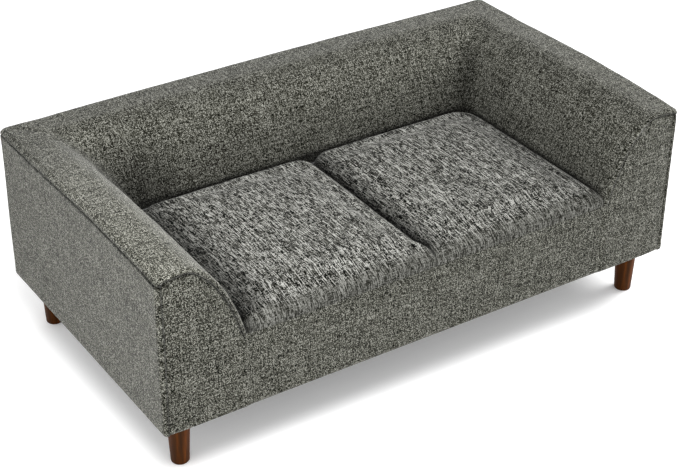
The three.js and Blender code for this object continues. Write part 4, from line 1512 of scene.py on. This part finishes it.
def rounded_outline(length, start_width, end_width, corner, steps=5):
    """An outline along +X from 0, tapering from one width to another, with rounded corners."""
    corners = [
        (length - corner, end_width / 2 - corner, 0), (corner, start_width / 2 - corner, 90),
        (corner, corner - start_width / 2, 180), (length - corner, corner - end_width / 2, 270),
    ]
    return [
        (x + corner * math.cos(a), z + corner * math.sin(a))
        for x, z, start in corners
        for a in np.radians(np.linspace(start, start + 90, steps))
    ]


def zip_slider(name):
    """A slider with a front plate, a bridge and a pull hanging on it."""
    low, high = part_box(f"{name}_zip_slider")
    middle = (low.z + high.z) / 2
    width = high.z - low.z
    face = rounded_outline(SLIDER_LENGTH, width, width * 0.72, 0.0012)
    pull = rounded_outline(high.x - low.x - SLIDER_LENGTH + 0.003, 0.0042, 0.0054, 0.0018)
    window = [(0.0016 + (x - 0.0016) * 0.30, z * 0.55) for x, z in pull]
    parts = []
    for (points, faces), along, proud in (
        (plate(face, 0.0009), 0.0, 0.0005),
        (plate(pull, 0.0010, window), SLIDER_LENGTH - 0.0034, 0.0017),
    ):
        moved = [(low.x + along + x, low.y + proud + y, middle + z) for x, y, z in points]
        parts.append((moved, faces))
    bridge = [
        (low.x + SLIDER_LENGTH * t, low.y + 0.0006 + 0.0016 * math.sin(math.pi * t), middle)
        for t in np.linspace(0.12, 0.88, 11)
    ]
    parts.append(swept(bridge, 0.0006, 8))
    made = joined(f"{name}_slider_body", parts, ZIP_METAL)
    edge = made.modifiers.new("edge", "BEVEL")
    edge.width = 0.00022
    edge.segments = 2
    edge.limit_method = "ANGLE"
    bake_modifiers(made)
    adopt(made, f"{name}_slider", "zip_metal", f"{name}_zip_slider")


# ---------------------------------------------------------------- the frame's own pieces

SLOT_MATERIALS = {
    "foam": FOAM,
    "plywood": PLYWOOD,
    "pine": PINE,
    "steel": STEEL,
    "walnut": WALNUT,
    "body_fabric": BODY_TWEED,
    "cushion_fabric": CUSHION_TWEED,
    "deck_cloth": LINING,
    "dust_cloth": DUST_CLOTH,
    "zip_tape": ZIP_TAPE,
    "zip_metal": ZIP_METAL,
}


def finish_frame():
    """Gives every piece of the frame the material of its slot."""
    for subpart in frame["record"]["subparts"]:
        for slot in frame["nodes"][subpart["node"]].material_slots:
            slot.material = SLOT_MATERIALS[subpart["material_slot"]]


# ---------------------------------------------------------------- stage

def make_camera():
    """The camera, turned to its place by its azimuth, elevation and roll."""
    data = bpy.data.cameras.new("camera")
    data.lens = CAMERA_LENS
    data.sensor_width = SENSOR_WIDTH
    data.sensor_fit = "HORIZONTAL"
    data.clip_end = 50
    camera = link("camera", data)
    back = Vector((
        math.sin(CAMERA_AZIMUTH) * math.cos(CAMERA_ELEVATION),
        -math.cos(CAMERA_AZIMUTH) * math.cos(CAMERA_ELEVATION),
        math.sin(CAMERA_ELEVATION),
    ))
    right = (-back).cross(Vector((0, 0, 1))).normalized()
    up = back.cross(right)
    turned = Matrix((right, up, back)).transposed() @ Matrix.Rotation(CAMERA_ROLL, 3, "Z")
    camera.matrix_world = Matrix.Translation(CAMERA_PLACE) @ turned.to_4x4()
    bpy.context.scene.camera = camera


def make_stage():
    """A white floor that glows a little, as in a studio."""
    corners = [(FLOOR_HALF * x, FLOOR_HALF * y, 0) for x, y in ((-1, -1), (1, -1), (1, 1), (-1, 1))]
    floor = link("floor", make_mesh("floor", corners, [(0, 1, 2, 3)]))
    nodes = Nodes("floor")
    speckle = nodes.noise(nodes.object_place(), 60.0, 2.0)
    white = nodes.ramp(speckle, [(0.0, (0.93, 0.93, 0.93, 1)), (1.0, (0.95, 0.95, 0.95, 1))])
    floor.data.materials.append(nodes.finish(
        white, 0.9, Specular_IOR_Level=0.0, Emission_Color=(1, 1, 1, 1), Emission_Strength=FLOOR_GLOW,
    ))


def area_light(name, place, target, size, power):
    """A round light that shines from its place towards its target and isn't seen itself."""
    data = bpy.data.lights.new(name, "AREA")
    data.shape = "DISK"
    data.size = size
    data.energy = power
    light = link(name, data)
    light.location = place
    light.visible_camera = False
    light.rotation_euler = (Vector(target) - Vector(place)).to_track_quat("-Z", "Y").to_euler()


def make_lights():
    """A white dome, a soft key light on the left arm and a rim light from the far right."""
    world = bpy.data.worlds.new("studio")
    bpy.context.scene.world = world
    world.use_nodes = True
    background = world.node_tree.nodes["Background"]
    background.inputs["Color"].default_value = (1, 1, 1, 1)
    background.inputs["Strength"].default_value = DOME
    area_light("key", KEY_PLACE, KEY_TARGET, KEY_SIZE, KEY_POWER)
    area_light("rim", RIM_PLACE, RIM_TARGET, RIM_SIZE, RIM_POWER)
    bpy.context.scene.view_settings.view_transform = "Standard"
    bpy.context.scene.cycles.denoising_prefilter = "NONE"


# ---------------------------------------------------------------- build

make_camera()
make_stage()
make_lights()
wall_wrap()
for one_side in (-1, 1):
    side_cover(one_side)
rear_cover()
front_cover()
deck_lining()
dust_cloth()
staples()
for cushion_name in ("left", "right"):
    cushion_cover(cushion_name)
    zip_tape(cushion_name)
    zip_teeth(cushion_name)
    zip_slider(cushion_name)
for leg_place in LEG_PLACES:
    turned_leg(leg_place)
finish_frame()
